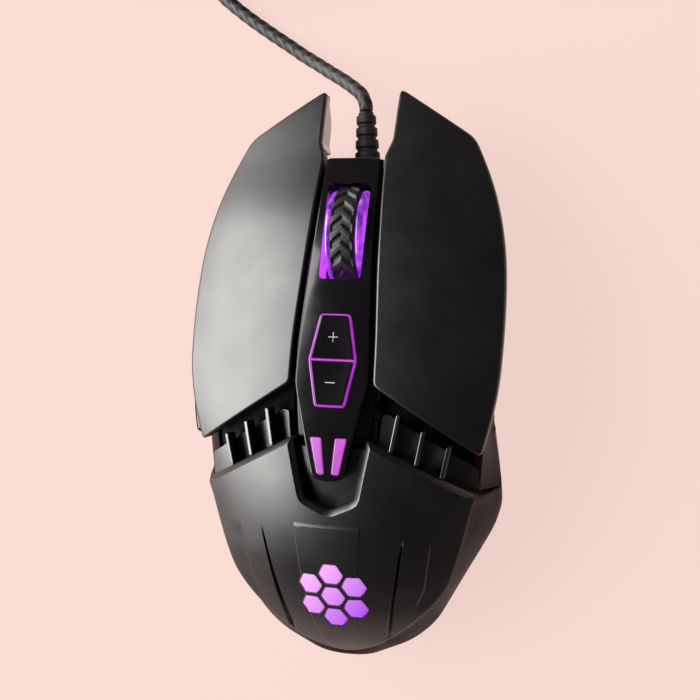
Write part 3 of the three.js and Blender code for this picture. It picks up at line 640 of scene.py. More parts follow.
def add_cable():
    route = CORD_START + coil_points() + CORD_END
    near = 62.0

    def rings_at(total):
        return np.concatenate([np.arange(0, near, 0.3), np.arange(near, total, 1.3), [total]])

    path, far = along_points(route, rings_at)
    sides = 24
    skin = Skin()
    tangents = np.gradient(path, axis=0)
    tangents /= np.linalg.norm(tangents, axis=1)[:, None]
    up = np.array((0.0, 0.0, 1.0))
    rings, tags = [], []
    for place, tangent, length in zip(path, tangents, far):
        across = np.cross(tangent, up)
        across /= np.linalg.norm(across)
        over = np.cross(across, tangent)
        ring = []
        for k in range(sides):
            angle = math.tau * k / sides
            high = braid_wave(length, k / sides)
            radius = CORD_D / 2 - 0.17 * (1 - high) ** 2
            ring.append(place + radius * (across * math.cos(angle) + over * math.sin(angle)))
            tags.append((length, k / sides, high))
        rings.append(ring)
    vertices = [tuple(p * MM) for ring in rings for p in ring]
    faces = []
    for i in range(len(rings) - 1):
        for k in range(sides):
            a, b = i * sides + k, i * sides + (k + 1) % sides
            faces.append((b, a, a + sides, b + sides))
    faces.append(list(range(sides)))
    faces.append([len(vertices) - 1 - k for k in range(sides)])
    mesh = bpy.data.meshes.new("braided_cable")
    mesh.from_pydata(vertices, [], faces)
    mesh.materials.append(BRAID)
    # The strand attribute (1 on a crown, 0 in a gap) drives the braid's painted highlight and painted
    # shade.
    for name, values in zip(("along", "around", "strand"), zip(*tags)):
        mesh.attributes.new(name, "FLOAT", "POINT").data.foreach_set("value", values)
    tidy = bmesh.new()
    tidy.from_mesh(mesh)
    bmesh.ops.recalc_face_normals(tidy, faces=tidy.faces)
    tidy.to_mesh(mesh)
    tidy.free()
    mesh.shade_smooth()
    piece = bpy.data.objects.new("braided_cable", mesh)
    bpy.context.scene.collection.objects.link(piece)
    done(piece, "mouse_body", "cable", "cable_coil", "cable_tail", slot="braid_black")
    return piece, [tuple(p * MM) for p in path], float(far[-1]) * MM


def braid_material():
    """Twisted nylon strands: base colour painted lighter on their crowns as a highlight and darker in the
    gaps as shade, with threads along them.
    """
    m = Nodes("braid_black")
    strand = m.add("ShaderNodeAttribute", attribute_name="strand").outputs["Fac"]
    m.link(m.mix(m.ramp(strand, 0.25, 0.95), (0.0012, 0.0010, 0.0010), (0.020, 0.0165, 0.0155)),
           m.shader.inputs["Base Color"])
    m.set(Roughness=0.55, Sheen_Weight=0.06, Sheen_Roughness=0.4, Specular_IOR_Level=0.3)
    m.bump(m.noise(3500, 3, 0.7), 0.00004)
    return m.material


BRAID = braid_material()


def plug_place(x, y, z):
    """From the plug's own frame, along X from the end of the cord."""
    cos, sin = math.cos(PLUG_TURN), math.sin(PLUG_TURN)
    ox, oy, oz = CORD_END[-1]
    return ox + x * cos - y * sin, oy + x * sin + y * cos, oz + z


def relief_place(x, y, z):
    """From the strain relief's own frame, along X from the front wall."""
    cos, sin = math.cos(EXIT_TURN), math.sin(EXIT_TURN)
    return EXIT[0] - x * sin + y * cos, EXIT[1] + x * cos + y * sin, EXIT[2] + z


def turned_piece(name, material, profile, place, sides):
    """A profile of (along, radius) turned round the X axis of its own frame, closed at its ends."""
    skin = Skin(place)
    rings = [
        [(x, r * math.cos(math.tau * k / sides), r * math.sin(math.tau * k / sides))
         for k in range(sides)]
        for x, r in profile
    ]
    skin.loft(rings)
    skin.fan(rings[0][::-1], (profile[0][0], 0, 0))
    skin.fan(rings[-1], (profile[-1][0], 0, 0))
    return skin.build(name, material)


def rounded_rows(points, leg=0.25, steps=3):
    """A profile with each inner corner rounded."""
    points = [np.array(p, float) for p in points]
    out = [points[0]]
    for a, b, c in zip(points, points[1:], points[2:]):
        back = min(leg, np.linalg.norm(b - a) * 0.45)
        on = min(leg, np.linalg.norm(c - b) * 0.45)
        start = b + (a - b) / np.linalg.norm(a - b) * back
        end = b + (c - b) / np.linalg.norm(c - b) * on
        for k in range(steps + 1):
            t = k / steps
            out.append((1 - t) ** 2 * start + 2 * t * (1 - t) * b + t * t * end)
    return [tuple(p) for p in out + [points[-1]]]


def stack(skin, outline, levels, step=None, height=None, low_height=None):
    """A closed body through rings of an outline: levels are (inset, z), lowest first."""
    rings = []
    for inset, z in levels:
        rings.append([(x, y, z) for x, y in outline.ring(inset)])
    skin.loft(rings)
    step = step or 3.0
    lowest, highest = levels[0][1], levels[-1][1]
    skin.fill(rings[0], low_height or (lambda x, y: lowest), step, up=False)
    skin.fill(rings[-1], height or (lambda x, y: highest), step)


def rounded_levels(low, high, soft, inset=0.0, foot=0.0, steps=4):
    """Levels of a body with a rounded upper edge, and a rounded lower edge where foot isn't 0."""
    out = []
    if foot:
        for k in range(steps + 1):
            angle = math.pi / 2 * k / steps
            out.append((inset + foot * (1 - math.sin(angle)), low + foot * (1 - math.cos(angle))))
    else:
        out.append((inset, low))
    for k in range(steps + 1):
        angle = math.pi / 2 * k / steps
        out.append((inset + soft * (1 - math.cos(angle)), high - soft * (1 - math.sin(angle))))
    return out


def rectangle(x0, x1, y0, y1, leg=0.5):
    return [(x0, y0, leg), (x1, y0, leg), (x1, y1, leg), (x0, y1, leg)]


def add_plug():
    """A flat moulded grip with finger grooves, its neck, the steel shell and the tongue in it."""
    neck = [(0.05, 1.7), (0.35, 2.3), (1.6, 2.5), (1.9, 2.35), (2.5, 2.35), (2.8, 2.8), (4.1, 2.9),
            (4.4, 2.5), (5.0, 2.5), (5.3, 3.0), (6.6, 3.1), (6.9, 2.8), (7.4, 2.8), (7.7, 3.2), (8.9, 3.2)]
    skin = Skin(plug_place)
    grip = Outline([(8, -4.2, 2), (12, -7.4, 4), (29, -7.8, 1.2), (29, 7.8, 1.2), (12, 7.4, 4),
                    (8, 4.2, 2)], 0.8)

    def face_height(x, y):
        """The upper face: a pad with four grip bars stands in a shallow panel."""
        panel = ease((5.6 - abs(y)) / 0.8) * ease((x - 13) / 0.8) * ease((26.5 - x) / 0.8)
        bar = ease((0.62 - abs((x - 14.6) % 3.0 - 1.5)) / 0.35) * ease((4.4 - abs(y)) / 0.5)
        return 4.0 - 0.45 * panel + 0.4 * bar * panel

    stack(skin, grip, rounded_levels(-4, 4, 1.3, foot=1.3), 0.45, face_height,
          lambda x, y: -face_height(x, y))
    body = skin.build("plug_grip", RUBBER)
    done(body, "mouse_body", "plug_body", slot="rubber_black")
    sleeve = turned_piece("plug_neck", RUBBER, rounded_rows(neck, 0.12), plug_place, 32)
    done(sleeve, "mouse_body", "plug_body", slot="rubber_black")

    skin = Skin(lambda u, v, w: plug_place(w, u, v))
    rim = Outline(rectangle(-6, 6, -2.25, 2.25, 0.6), 0.8)
    levels = [(0.35, 30), (0.35, 41.15), (0.2, 41.3), (0.0, 41.15), (0.0, 29.3)]
    rings = [[(x, y, z) for x, y in rim.ring(inset)] for inset, z in levels]
    skin.loft(rings)
    skin.fill(rings[0], lambda x, y: 30, 3)
    skin.fill(rings[-1], lambda x, y: 29.3, 3, up=False)
    for side in (-1, 1):
        for up in (-1, 1):
            pocket = Outline([(34 + a, side * 2.9 + b, 0.3) for a, b in
                              ((-1.1, -1.1), (1.1, -1.1), (1.1, 1.1), (-1.1, 1.1))], 0.6)
            skin.place = plug_place
            stack(skin, pocket, [(0, up * 2.2 - 0.07), (0, up * 2.2 + 0.07), (0.12, up * 2.2 + 0.09)])
    shell = skin.build("plug_shell_steel", [STEEL])
    done(shell, "mouse_body", "plug_shell", slot="steel")

    skin = Skin(plug_place)
    stack(skin, Outline(rectangle(30.4, 40.6, -5.3, 5.3, 0.5), 0.8), rounded_levels(-0.1, 1.5, 0.2))
    tongue = skin.build("plug_tongue_block", NYLON)
    done(tongue, "mouse_body", "plug_tongue", slot="nylon_white")
    skin = Skin(plug_place)
    for y in (-3.5, -1.1, 1.1, 3.5):
        stack(skin, Outline(rectangle(32, 40.2, y - 0.5, y + 0.5, 0.15), 0.5),
              rounded_levels(-0.35, -0.05, 0.05))
    contacts = skin.build("plug_contacts", GOLD)
    done(contacts, "mouse_body", slot="steel")
    return body, sleeve, shell, tongue, contacts


GOLD = metal("gold_plate", (0.85, 0.62, 0.28), 0.2)


def add_relief():
    """A ribbed rubber sleeve on a collar, tapering to the cord."""
    ribs = []
    for k in range(4):
        x, r = 2.5 + 2.8 * k, 2.9 - 0.2 * k
        ribs += [(x, r), (x + 1.75, r - 0.05), (x + 1.95, r - 0.55), (x + 2.6, r - 0.6)]
    collar = [(-4, 3.9), (-2.1, 3.9), (-2.1, 2.9), (1.6, 2.9), (2.2, 2.4)]
    profile = collar + ribs + [(13.35, 1.75), (13.5, 1.64)]
    piece = turned_piece("cable_relief", RUBBER, rounded_rows(profile, 0.22), relief_place, 48)
    return done(piece, "mouse_body", "strain_relief", slot="rubber_black")


def add_tie():
    """A hook-and-loop strap round the bundle: two faces, as one closed band."""
    near, far = COIL_Y + COIL_R - 2 * LANE, COIL_Y + COIL_R + 2 * LANE
    loop = Outline(rectangle(near - 0.6, far + 0.6, 0.66, 13.85, 1.9), 0.7)
    skin = Skin(lambda u, v, w: (COIL_X + w, u, v))
    half, thin, soft = 4.5, 0.62, 0.15
    levels = [(0, soft - half), (0, half - soft), (-soft, half), (soft - thin, half), (-thin, half - soft),
              (-thin, soft - half), (soft - thin, -half), (-soft, -half)]
    rings = [[(x, y, z) for x, y in loop.ring(inset)] for inset, z in levels]
    skin.loft(rings, round_again=True)
    piece = skin.build("coil_strap", STRAP)
    return done(piece, "mouse_body", "cable_tie", slot="rubber_black")


def strap_material():
    """Looped pile, a little fuzzy."""
    m = Nodes("strap_pile")
    m.link(m.mix(m.cells(1600), (0.0030, 0.0028, 0.0030), (0.012, 0.011, 0.0115)),
           m.shader.inputs["Base Color"])
    m.set(Roughness=0.9, Sheen_Weight=0.05, Sheen_Roughness=0.5, Specular_IOR_Level=0.2)
    m.bump(m.cells(1600), 0.00012)
    return m.material


STRAP = strap_material()

cable, cable_path, cable_length = add_cable()
plug_pieces = add_plug()
relief = add_relief()
add_tie()

# ---------------------------------------------------------------- button covers and their trims


def add_cover(side, name, node, body):
    """A painted wing with a rounded edge and a rim, its switch post and its hinge lug."""
    outline = Outline(COVER if side > 0 else mirror(COVER), 0.8)
    skin = sheet_of(outline, 0, 0.55, COVER_DEEP, 1.5, COVER_THICK, 1.5)
    post = Outline([(side * 12.5 + 1.6 * math.cos(a), 39.4 + 1.6 * math.sin(a), SOFT)
                    for a in (k * math.tau / 8 for k in range(8))], 0.5)
    stack(skin, post, [(0.3, 15.6), (0, 15.9), (0, top(side * 12.5, 39.4) - 1.2)])
    lug = Outline(rectangle(side * 14.8 - 2.4, side * 14.8 + 2.4, 3, 7, 0.6), 0.5)
    stack(skin, lug, [(0.4, 27.3), (0, 27.8), (0, top(side * 14.8, 5) - 1.2)])
    done(skin.build(name, SATIN), body, node, slot="satin_black")

    # painted reflection: a pale pink piece on the inner wall of the front prong stands in for the floor
    # reflected in that black wall
    corners = [(49.3, -7.4, 0.8), (57.2, -7.0, 2.5), (62.6, -1.7, 1.0), (62.4, -0.62, 0.3),
               (51.7, -0.62, 2.0), (49.3, -0.62, 0.3)]
    profile = [(y, top(8, y) + offset, leg) for y, offset, leg in corners]

    def beside_wall(u, v, w):
        edge = 7.86 + 0.032 * (u - 51.2) - 0.36 * max(0.0, 51.2 - u)
        return side * (edge + w), u, v

    skin = Skin(beside_wall)
    stack(skin, Outline(profile, 0.7), [(0.25, -0.16), (0.0, 0.02), (0.0, 1.2)], 0.8)
    done(skin.build(name + "_painted_reflection", PRONG_FLOOR_REFLECTION), body, slot="satin_black")


# Pale pinkish gloss: its base colour is a painted reflection of the floor on the prong's black inner wall.
def prong_reflection_material():
    m = Nodes("prong_painted_reflection")
    m.link(m.mix(m.ramp(m.noise(90, 3), 0.3, 0.7), (0.24, 0.15, 0.135), (0.34, 0.225, 0.20)),
           m.shader.inputs["Base Color"])
    m.set(Roughness=0.22, Coat_Weight=0.6)
    return m.material


PRONG_FLOOR_REFLECTION = prong_reflection_material()
add_cover(-1, "left_wing", "left_button", "left_click")
add_cover(1, "right_wing", "right_button", "right_click")

# ---------------------------------------------------------------- palm shell

CREASE = [(-7.2, -26.2), (-7.2, -29.9), (-6.6, -38.6), (-5.4, -51.4), (-3.6, -59.0)]
CREASE_RIGHT = [(7.0, -25.6), (5.7, -36.2), (3.9, -54.8), (3.2, -59.6)]
GROOVE = [(15.0, -30.8), (13.2, -42), (10.4, -58.0)]
FOLD = [(20.6, -30.6), (18.8, -43.2), (16.2, -49.4)]


def across_line(x, y, line):
    """Signed distance in X from a line of points, or None beyond its ends."""
    for (xa, ya), (xb, yb) in zip(line, line[1:]):
        if yb <= y <= ya:
            return x - (xa + (xb - xa) * (y - ya) / (yb - ya))
    return None


def fade(y, line, soft=3.0):
    """1 along a line and 0 at its ends."""
    return ease((line[0][1] - y) / soft) * ease((y - line[-1][1]) / soft)


def palm_top(x, y):
    """The palm's surface: a raised middle band, two grooves and two soft folds."""
    z = top(x, y)
    left, right = across_line(x, y, CREASE), across_line(x, y, CREASE_RIGHT)
    if left is not None and right is not None:
        z += 0.28 * ease((left + 0.15) / 0.3) * ease((0.15 - right) / 0.3) * ease((-29.5 - y) / 0.3)
    for side in (-1, 1):
        groove = across_line(side * x, y, GROOVE)
        if groove is not None:
            z -= 0.9 * max(0.0, 1 - abs(groove) / groove_half(y)) * fade(y, GROOVE, 5.0)
        fold = across_line(side * x, y, FOLD)
        if fold is not None:
            z -= 0.22 * ease((fold + 0.15) / 0.3) * ease((5.0 - fold) / 4.6) * fade(y, FOLD, 4.0)
    return z


def groove_half(y):
    return 0.3 + 0.45 * ease((-34 - y) / 22)


def moved_line(line, dx):
    return [(x + dx, y) for x, y in line]


def dense(line, step=0.8):
    out = []
    for a, b in zip(line, line[1:]):
        n = max(1, int(math.dist(a, b) / step))
        out += [(a[0] + (b[0] - a[0]) * k / n, a[1] + (b[1] - a[1]) * k / n) for k in range(n)]
    return out + [line[-1]]


def hexagon(x, y, radius, leg):
    return [(x + radius * math.cos(k * math.tau / 6), y + radius * math.sin(k * math.tau / 6), leg)
            for k in range(6)]


def emblem_centres():
    ring = [(EMBLEM_PITCH * math.cos(a), EMBLEM_Y + EMBLEM_PITCH * math.sin(a))
            for a in (math.pi / 6 + k * math.tau / 6 for k in range(6))]
    return [(0.0, EMBLEM_Y)] + ring


# Palm from above, right half: (x, y, leg), then where that corner lies at the widest height, or
# None along the front edge, whose wall goes straight down
PALM = [
    ((0, -26.3, 0.8), None), ((5.2, -23.9, 0.8), None), ((7.7, -11.2, 0.7), None),
    ((28.05, -22.0, 0.3), None), ((28.9, -23.3, 0.3), (33.3, -22.3)), ((27.9, -26.4, SOFT), (33.6, -26)),
    ((26.9, -31, SOFT), (32.2, -31)), ((25.3, -37.3, SOFT), (28.9, -37.3)),
    ((23.6, -42.7, 2), (25.8, -43)), ((20.9, -46.8, 2), (23.6, -47.2)),
    ((15.8, -52.3, 3), (20.2, -53.6)), ((9.8, -57.4, 3), (15.4, -58)),
    ((4.5, -60.6, 3), (5.5, -62.6)), ((0, -61.8, 3), (0, -63)),
]


PALM_THICK = 2.2
SHELF_FOOT = 6.7               # undersides of the shelves and the notch floor, below the top surface


def add_palm():
    """Dome with its creases and emblem openings, its flanks and its front wall."""
    half = [corner for corner, _ in PALM]
    out = [wide for _, wide in PALM]
    corners = half + [(-x, y, leg) for x, y, leg in half[-2:0:-1]]
    wides = out + [(-w[0], w[1]) if w else None for w in out[-2:0:-1]]
    outline = Outline(corners, 0.8)

    def low_ring(inset_front, z_front, inset, z, wall):
        """The front wall goes straight down, the flanks go out to their widest outline."""
        control = []
        for (x, y, _), wide in zip(corners, wides):
            if wide is None:
                control.append((x, y, 1.0))
            else:
                pull = 1 - (inset + wall) / max(math.hypot(*wide), 1)
                control.append((wide[0] * pull, wide[1] * pull, 0.0))
        ring = outline.ring(control=control)
        front = outline.ring(inset_front)
        rows = []
        for (x, y, mark), (fx, fy) in zip(ring, front):
            if mark > 0.5:
                rows.append((fx, fy, top(fx, fy) + z_front))
            else:
                rows.append((x, y, z))
        return rows

    skin = Skin()
    crease = outline.ring(0.0)
    marks = [row[2] for row in outline.ring(control=[(*c[:2], 1.0 if w is None else 0.0)
                                                     for c, w in zip(corners, wides)])]
    ridge = low_ring(0.0, -5.0, 0.0, RIDGE_Z, 0.0)
    rings = [
        [(x, y, palm_top(x, y) - PALM_THICK) for x, y in outline.ring(2.0)],
        low_ring(1.8, -6.6, 0.0, SPLIT + 0.4, 1.9),
        low_ring(1.8, -6.8, 0.0, SPLIT + 0.12, 1.7),
        low_ring(0.15, -6.8, 0.35, SPLIT + 0.12, 0.0),
        low_ring(0.0, -6.6, 0.15, SPLIT + 0.35, 0.0),
        low_ring(0.0, -5.8, 0.0, RIDGE_Z - 0.7, 0.0),
    ]
    for t in (0.06, 0.2, 0.35, 0.5, 0.65, 0.8, 0.93):
        row = []
        for low, (x, y), mark in zip(ridge, crease, marks):
            if mark > 0.5:
                row.append((x, y, top(x, y) - 1.35 - 4.3 * (1 - t)))
            else:
                high = palm_top(x, y) - 0.35
                bulge = 1 + 0.006 * math.sin(math.pi * t)
                row.append(((low[0] + (x - low[0]) * t) * bulge, (low[1] + (y - low[1]) * t) * bulge,
                            low[2] + (high - low[2]) * t))
        rings.append(row)
    for inset, down, front_inset, front_down in (
            (-0.02, -0.30, 0.0, -1.25), (0.05, -0.12, 0.12, -1.05), (0.22, -0.03, 0.85, -0.22),
            (0.5, 0.0, 1.15, 0.0)):
        flank, front = outline.ring(inset), outline.ring(front_inset)
        rings.append([
            (*(f if mark > 0.5 else s), palm_top(*(f if mark > 0.5 else s))
             + (front_down if mark > 0.5 else down))
            for s, f, mark in zip(flank, front, marks)
        ])
    skin.loft(rings)
    holes = [Outline(hexagon(x, y, 2.75, 0.35), 0.45).ring() for x, y in emblem_centres()]
    lines = []
    for dx in (-0.15, 0.15):
        lines += [dense(moved_line(line, dx)) for line in (CREASE, CREASE_RIGHT, FOLD,
                                                           [(-x, y) for x, y in FOLD])]
    for side in (-1, 1):
        for k in (-1, 0, 1):
            lines.append([(side * (x + k * groove_half(y)), y) for x, y in dense(GROOVE)])
    skin.fill(rings[-1], palm_top, 0.9, holes, lines)
    skin.fill(rings[0], lambda x, y: palm_top(x, y) - PALM_THICK, 2.6, holes, up=False)
    for hole in holes:
        mouth = [(x, y, palm_top(x, y)) for x, y in hole]
        foot = [(x, y, palm_top(x, y) - PALM_THICK) for x, y in hole]
        skin.bridge(mouth, foot)
    dome = done(skin.build("palm_dome", [SATIN, SIDE_PAINTED_BOUNCE], 28), "mouse_body", "palm_shell", slot="satin_black")
    # The palm's lower rear flank takes the side material, whose maroon base colour is a painted floor
    # reflection.
    centres = np.array([tuple(face.center)[:2] for face in dome.data.polygons]) / MM
    flank = ~inside(centres, np.array(outline.ring(0.03))[:, :2])
    for face, gets_floor_tint in zip(dome.data.polygons, flank):
        face.material_index = int(gets_floor_tint and face.center.y < -0.0215)


def add_shelves():
    """Shelves under the rear edge of the wings, their fins, and the floor of the notch."""
    skin = Skin()
    shelf = [(9.2, -13.5, 0.3), (9.9, -6.6, 0.3), (11, -6.3, 0.3), (29.1, -17.4, 0.3), (29.3, -22.8, 0.3)]
    for side in (1, -1):
        outline = Outline(shelf if side > 0 else mirror(shelf), 0.9)
        skin.pile(outline, [(0, over_top(-SHELF_FOOT)), (0, over_top(-4.9))], 3, 1.6)
        for i in range(3):
            x = side * (13.7 + 4.9 * i)
            front = -6.0 - 3.1 * i
            rear = front - 7.6 + 0.5 * i
            fin = Outline([(x - 0.45, front, 0.3), (x + 0.45, front, 0.3),
                           (x - side * 1.3 + 0.45, rear, 0.3), (x - side * 1.3 - 0.45, rear, 0.3)], 0.25)
            levels = [(0.0, -5.2), (0.0, -1.15), (0.06, -1.0), (0.2, -0.92)]
            skin.pile(fin, [(inset, over_top(z)) for inset, z in levels], 2, 0.5)
    pan = Outline([(9.5, -13.4, 0.3), (9.5, -25, 0.3), (0, -28.5, 0.3), (-9.5, -25, 0.3),
                   (-9.5, -13.4, 0.3)], 1)

    def pan_height(x, y):
        return top(x, y) - 3.1 - 1.2 * ease((-17 - y) / 8)

    skin.pile(pan, [(0, over_top(-SHELF_FOOT)), (0, pan_height)], 3, 1.2)
    done(skin.build("vent_shelves", SHELF, 28), "mouse_body", "palm_shell", slot="satin_black")


def add_shade_wells():
    """A dull near-black floor under the deeper gap in front of the shelves: painted shade, so that the gap
    stays dark.
    """
    skin = Skin()
    for side in (1, -1):
        well = [(9.3, -14, 0.3), (9.3, -0.6, 0.3), (12, -0.6, 0.3), (28.4, -11, 0.3), (28.8, -20, 0.3)]
        outline = Outline(well if side > 0 else mirror(well), 0.9)
        skin.pile(outline, [(0, over_top(-8.0)), (0, over_top(-6.9))], 3, 3)
    done(skin.build("vent_shade_wells", SHADE_WELL), "mouse_body", slot="satin_black")


# Dull and near black: painted shade for the floor of the gap.
SHADE_WELL = moulded("well_painted_shade", (0.0016, 0.0014, 0.0018), (0.0024, 0.0021, 0.0026), 0.7, 0.04, 0.0, 1,
               specular=0.1)
SHELF = moulded("vent_grey", (0.0030, 0.0027, 0.0032), (0.0042, 0.0038, 0.0045), 0.37, 0.04, 0.000012, 2600,
                specular=0.75)
add_palm()
add_shelves()
add_shade_wells()


def emblem_material():
    """Lit from one side: near white at the upper left, violet at the lower right."""
    m = Nodes("lit_emblem")
    split = m.add("ShaderNodeSeparateXYZ")
    m.link(m.where, split.inputs["Vector"])
    slant = m.add("ShaderNodeMath", operation="SUBTRACT")
    m.link(split.outputs["X"], slant.inputs[0])
    m.link(split.outputs["Y"], slant.inputs[1])
    value = m.ramp(slant.outputs[0], 0.032, 0.056)
    m.link(m.mix(value, (0.95, 0.42, 0.88), (0.40, 0.07, 0.80)), m.shader.inputs["Emission Color"])
    m.link(m.mix(value, (0.10, 0.06, 0.10), (0.05, 0.015, 0.08)), m.shader.inputs["Base Color"])
    m.set(Emission_Strength=0.95, Roughness=0.45, Specular_IOR_Level=0.3)
    return m.material


def lens_level(offset):
    """Over the palm's raised middle band, the hexagons stand higher by as much as the band does."""
    return lambda x, y: top(x, y) + 0.42 * (abs(x) < 6) + offset


def add_emblem():
    """Seven lit hexagons on one carrier disc, each standing in its opening."""
    skin = Skin()
    for x, y in emblem_centres():
        outline = Outline(hexagon(x, y, 2.5, 0.3), 0.4)
        levels = [(0.0, -3.0), (0.0, -0.5), (0.1, -0.36), (0.3, -0.3)]
        skin.pile(outline, [(inset, lens_level(z)) for inset, z in levels], 3, 0.7)
    disc = Outline([(9.2 * math.cos(k * math.tau / 12), EMBLEM_Y + 9.2 * math.sin(k * math.tau / 12), SOFT)
                    for k in range(12)], 1)
    skin.pile(disc, [(0, over_top(-4.1)), (0, over_top(-2.7))], 3, 3)
    done(skin.build("emblem_light", emblem_material()), "mouse_body", "emblem_lens", slot="lit_purple")


add_emblem()

# ---------------------------------------------------------------- side panels and bottom shell


class Wall:
    """The side wall as a flat sheet: (s, z, w) with s along it from the rear and w out of it."""

    def __init__(self, side):
        self.side = side
        rear = [(0, -40, 0.1), (20, -40, 0.1), (33.35, -22.2, 0.1)]
        line = Outline(rear + [p for p in RIDGE if p[1] > -22], 0.6).ring()
        self.line = np.array([p for p in line if p[0] > 7.6 and p[1] > -22.3])
        self.far = np.concatenate([[0], np.cumsum(np.linalg.norm(np.diff(self.line, axis=0), axis=1))])
        normal = np.gradient(self.line, axis=0)
        normal /= np.linalg.norm(normal, axis=1)[:, None] + 1e-9
        self.normal = np.stack([normal[:, 1], -normal[:, 0]], 1)

    def at(self, s):
        """x and y of the wall's line there, then of its outward normal."""
        return [np.interp(s, self.far, table[:, i]) for table in (self.line, self.normal) for i in (0, 1)]

    def along(self, y):
        """How far along the wall a place beside the thumb lies."""
        body = self.line[:, 0] > 26
        return float(np.interp(y, self.line[body, 1], self.far[body]))

    def high(self, s):
        x, y, *_ = self.at(s)
        lean = 4.6 * ease((-4 - y) / 20)
        return max(top(x - lean, y) - 5.1, RIDGE_Z + 0.6)

    def place(self, s, z, w):
        x, y, nx, ny = self.at(s)
        up = (z - RIDGE_Z) / max(self.high(s) - RIDGE_Z, 1)
        lean = 4.6 * min(max((-4 - y) / 20, 0), 1) * max(up, 0)
        hollow = 0.75 * math.sin(math.pi * min(max(up, 0), 1)) * ease((y + 20) / 20) * ease((44 - y) / 12)
        under = 0.15 * max(0.0, -up) * 4
        out = w - hollow - under
        return self.side * (x + nx * out - lean), y + ny * out, z


def add_side(side):
    """A side panel with a finger hollow, grip ribs and, on the left, the thumb windows."""
    wall = Wall(side)
    skin = Skin(wall.place)
    end = wall.far[-1]
    count = 60
    high = [(end * k / count, wall.high(end * k / count) - 0.05, 0.05) for k in range(count, -1, -1)]
    outline = Outline([(0, SPLIT + 0.15, 0.3), (end, SPLIT + 0.15, 0.3)] + high, 0.9)
    holes = []
    if side < 0:
        for rear, front in THUMBS.values():
            corners = [(wall.along(y), z, 0.9) for y, z in thumb_outline(rear - 0.35, front + 0.35)]
            holes.append(Outline(corners, 0.5).ring(-0.2))
    low = [(x, y, -1.8) for x, y in outline.ring(0.0)]
    rows = [low] + [[(x, y, w) for x, y in outline.ring(inset)]
                    for inset, w in ((0.0, -0.25), (0.08, -0.08), (0.25, 0.0))]
    skin.loft(rows)

    def ribs(s, z):
        """Slanted grip ribs over the lower half of the wall."""
        x, y, *_ = wall.at(s)
        zone = ease((y + 12) / 3) * ease((38 - y) / 3) * ease((z - 12.2) / 1.0) * ease((20.5 - z) / 1.0)
        zone *= ease((wall.high(s) - 0.6 - z) / 1.2)
        wave = 0.5 + 0.5 * math.cos(math.tau * (s + 0.5 * z) / 3.2)
        return 0.35 * zone * wave

    skin.fill(rows[-1], ribs, 0.7, holes)
    skin.fill(low, lambda s, z: -1.8, 1.6, holes, up=False)
    for hole in holes:
        skin.bridge([(s, z, ribs(s, z)) for s, z in hole], [(s, z, -1.8) for s, z in hole])
    name = "left" if side < 0 else "right"
    # The side material's maroon tint is a painted reflection of the floor.
    done(skin.build(name + "_flank", SIDE_PAINTED_BOUNCE, 40), "mouse_body", name + "_side_panel", slot="side_black")


THUMBS = {"thumb_front": (3.3, 19.6), "thumb_rear": (-13.6, 1.5)}


def thumb_edge(y):
    return top(31, y) - 6.4


def thumb_outline(rear, front):
    middle = (rear + front) / 2
    high = [(y, thumb_edge(y)) for y in (front, middle, rear)]
    low = [(y, thumb_edge(y) - 5.6) for y in (rear + 0.6, middle, front - 0.6)]
    return high + low


add_side(-1)
add_side(1)


def add_thumb_button(name, node):
    """A crowned cap with a rounded edge and a stem to its switch."""
    rear, front = THUMBS[name]
    outline = Outline([(y, z, leg) for (y, z), leg in
                       zip(thumb_outline(rear, front), (1.1, SOFT, 1.1, 1.6, SOFT, 1.6))], 0.5)
    skin = Skin(lambda u, v, w: (-w, u, v))
    middle = (rear + front) / 2
    half = (front - rear) / 2

    def crown(y, z):
        edge = thumb_edge(y) - 2.8
        upright = 1 - min(1, abs(z - edge) / 2.8) ** 2 * 0.7
        return 34.15 + 0.62 * (1 - ((y - middle) / half) ** 2) * upright

    rows = [[(x, y, 28.7) for x, y in outline.ring(0.25)], [(x, y, 29) for x, y in outline.ring(0.0)]]
    for k in range(6):
        angle = math.pi / 2 * k / 5
        rows.append([(x, y, crown(x, y) - 1.2 + 1.2 * math.sin(angle))
                     for x, y in outline.ring(0.9 * (1 - math.cos(angle)))])
    skin.loft(rows)
    skin.fill(rows[0], lambda y, z: 28.7, 3, up=False)
    skin.fill(rows[-1], crown, 0.6)
    z = thumb_edge(middle) - 2.8
    stem = Outline(rectangle(middle - 1.2, middle + 1.2, z - 1, z + 1, 0.2), 0.6)
    stack(skin, stem, [(0, 27.4), (0, 29.5)])
    done(skin.build(name + "_cap", GLOSS), name, node, slot="gloss_black")


add_thumb_button("thumb_front", "thumb_front_button")
add_thumb_button("thumb_rear", "thumb_rear_button")


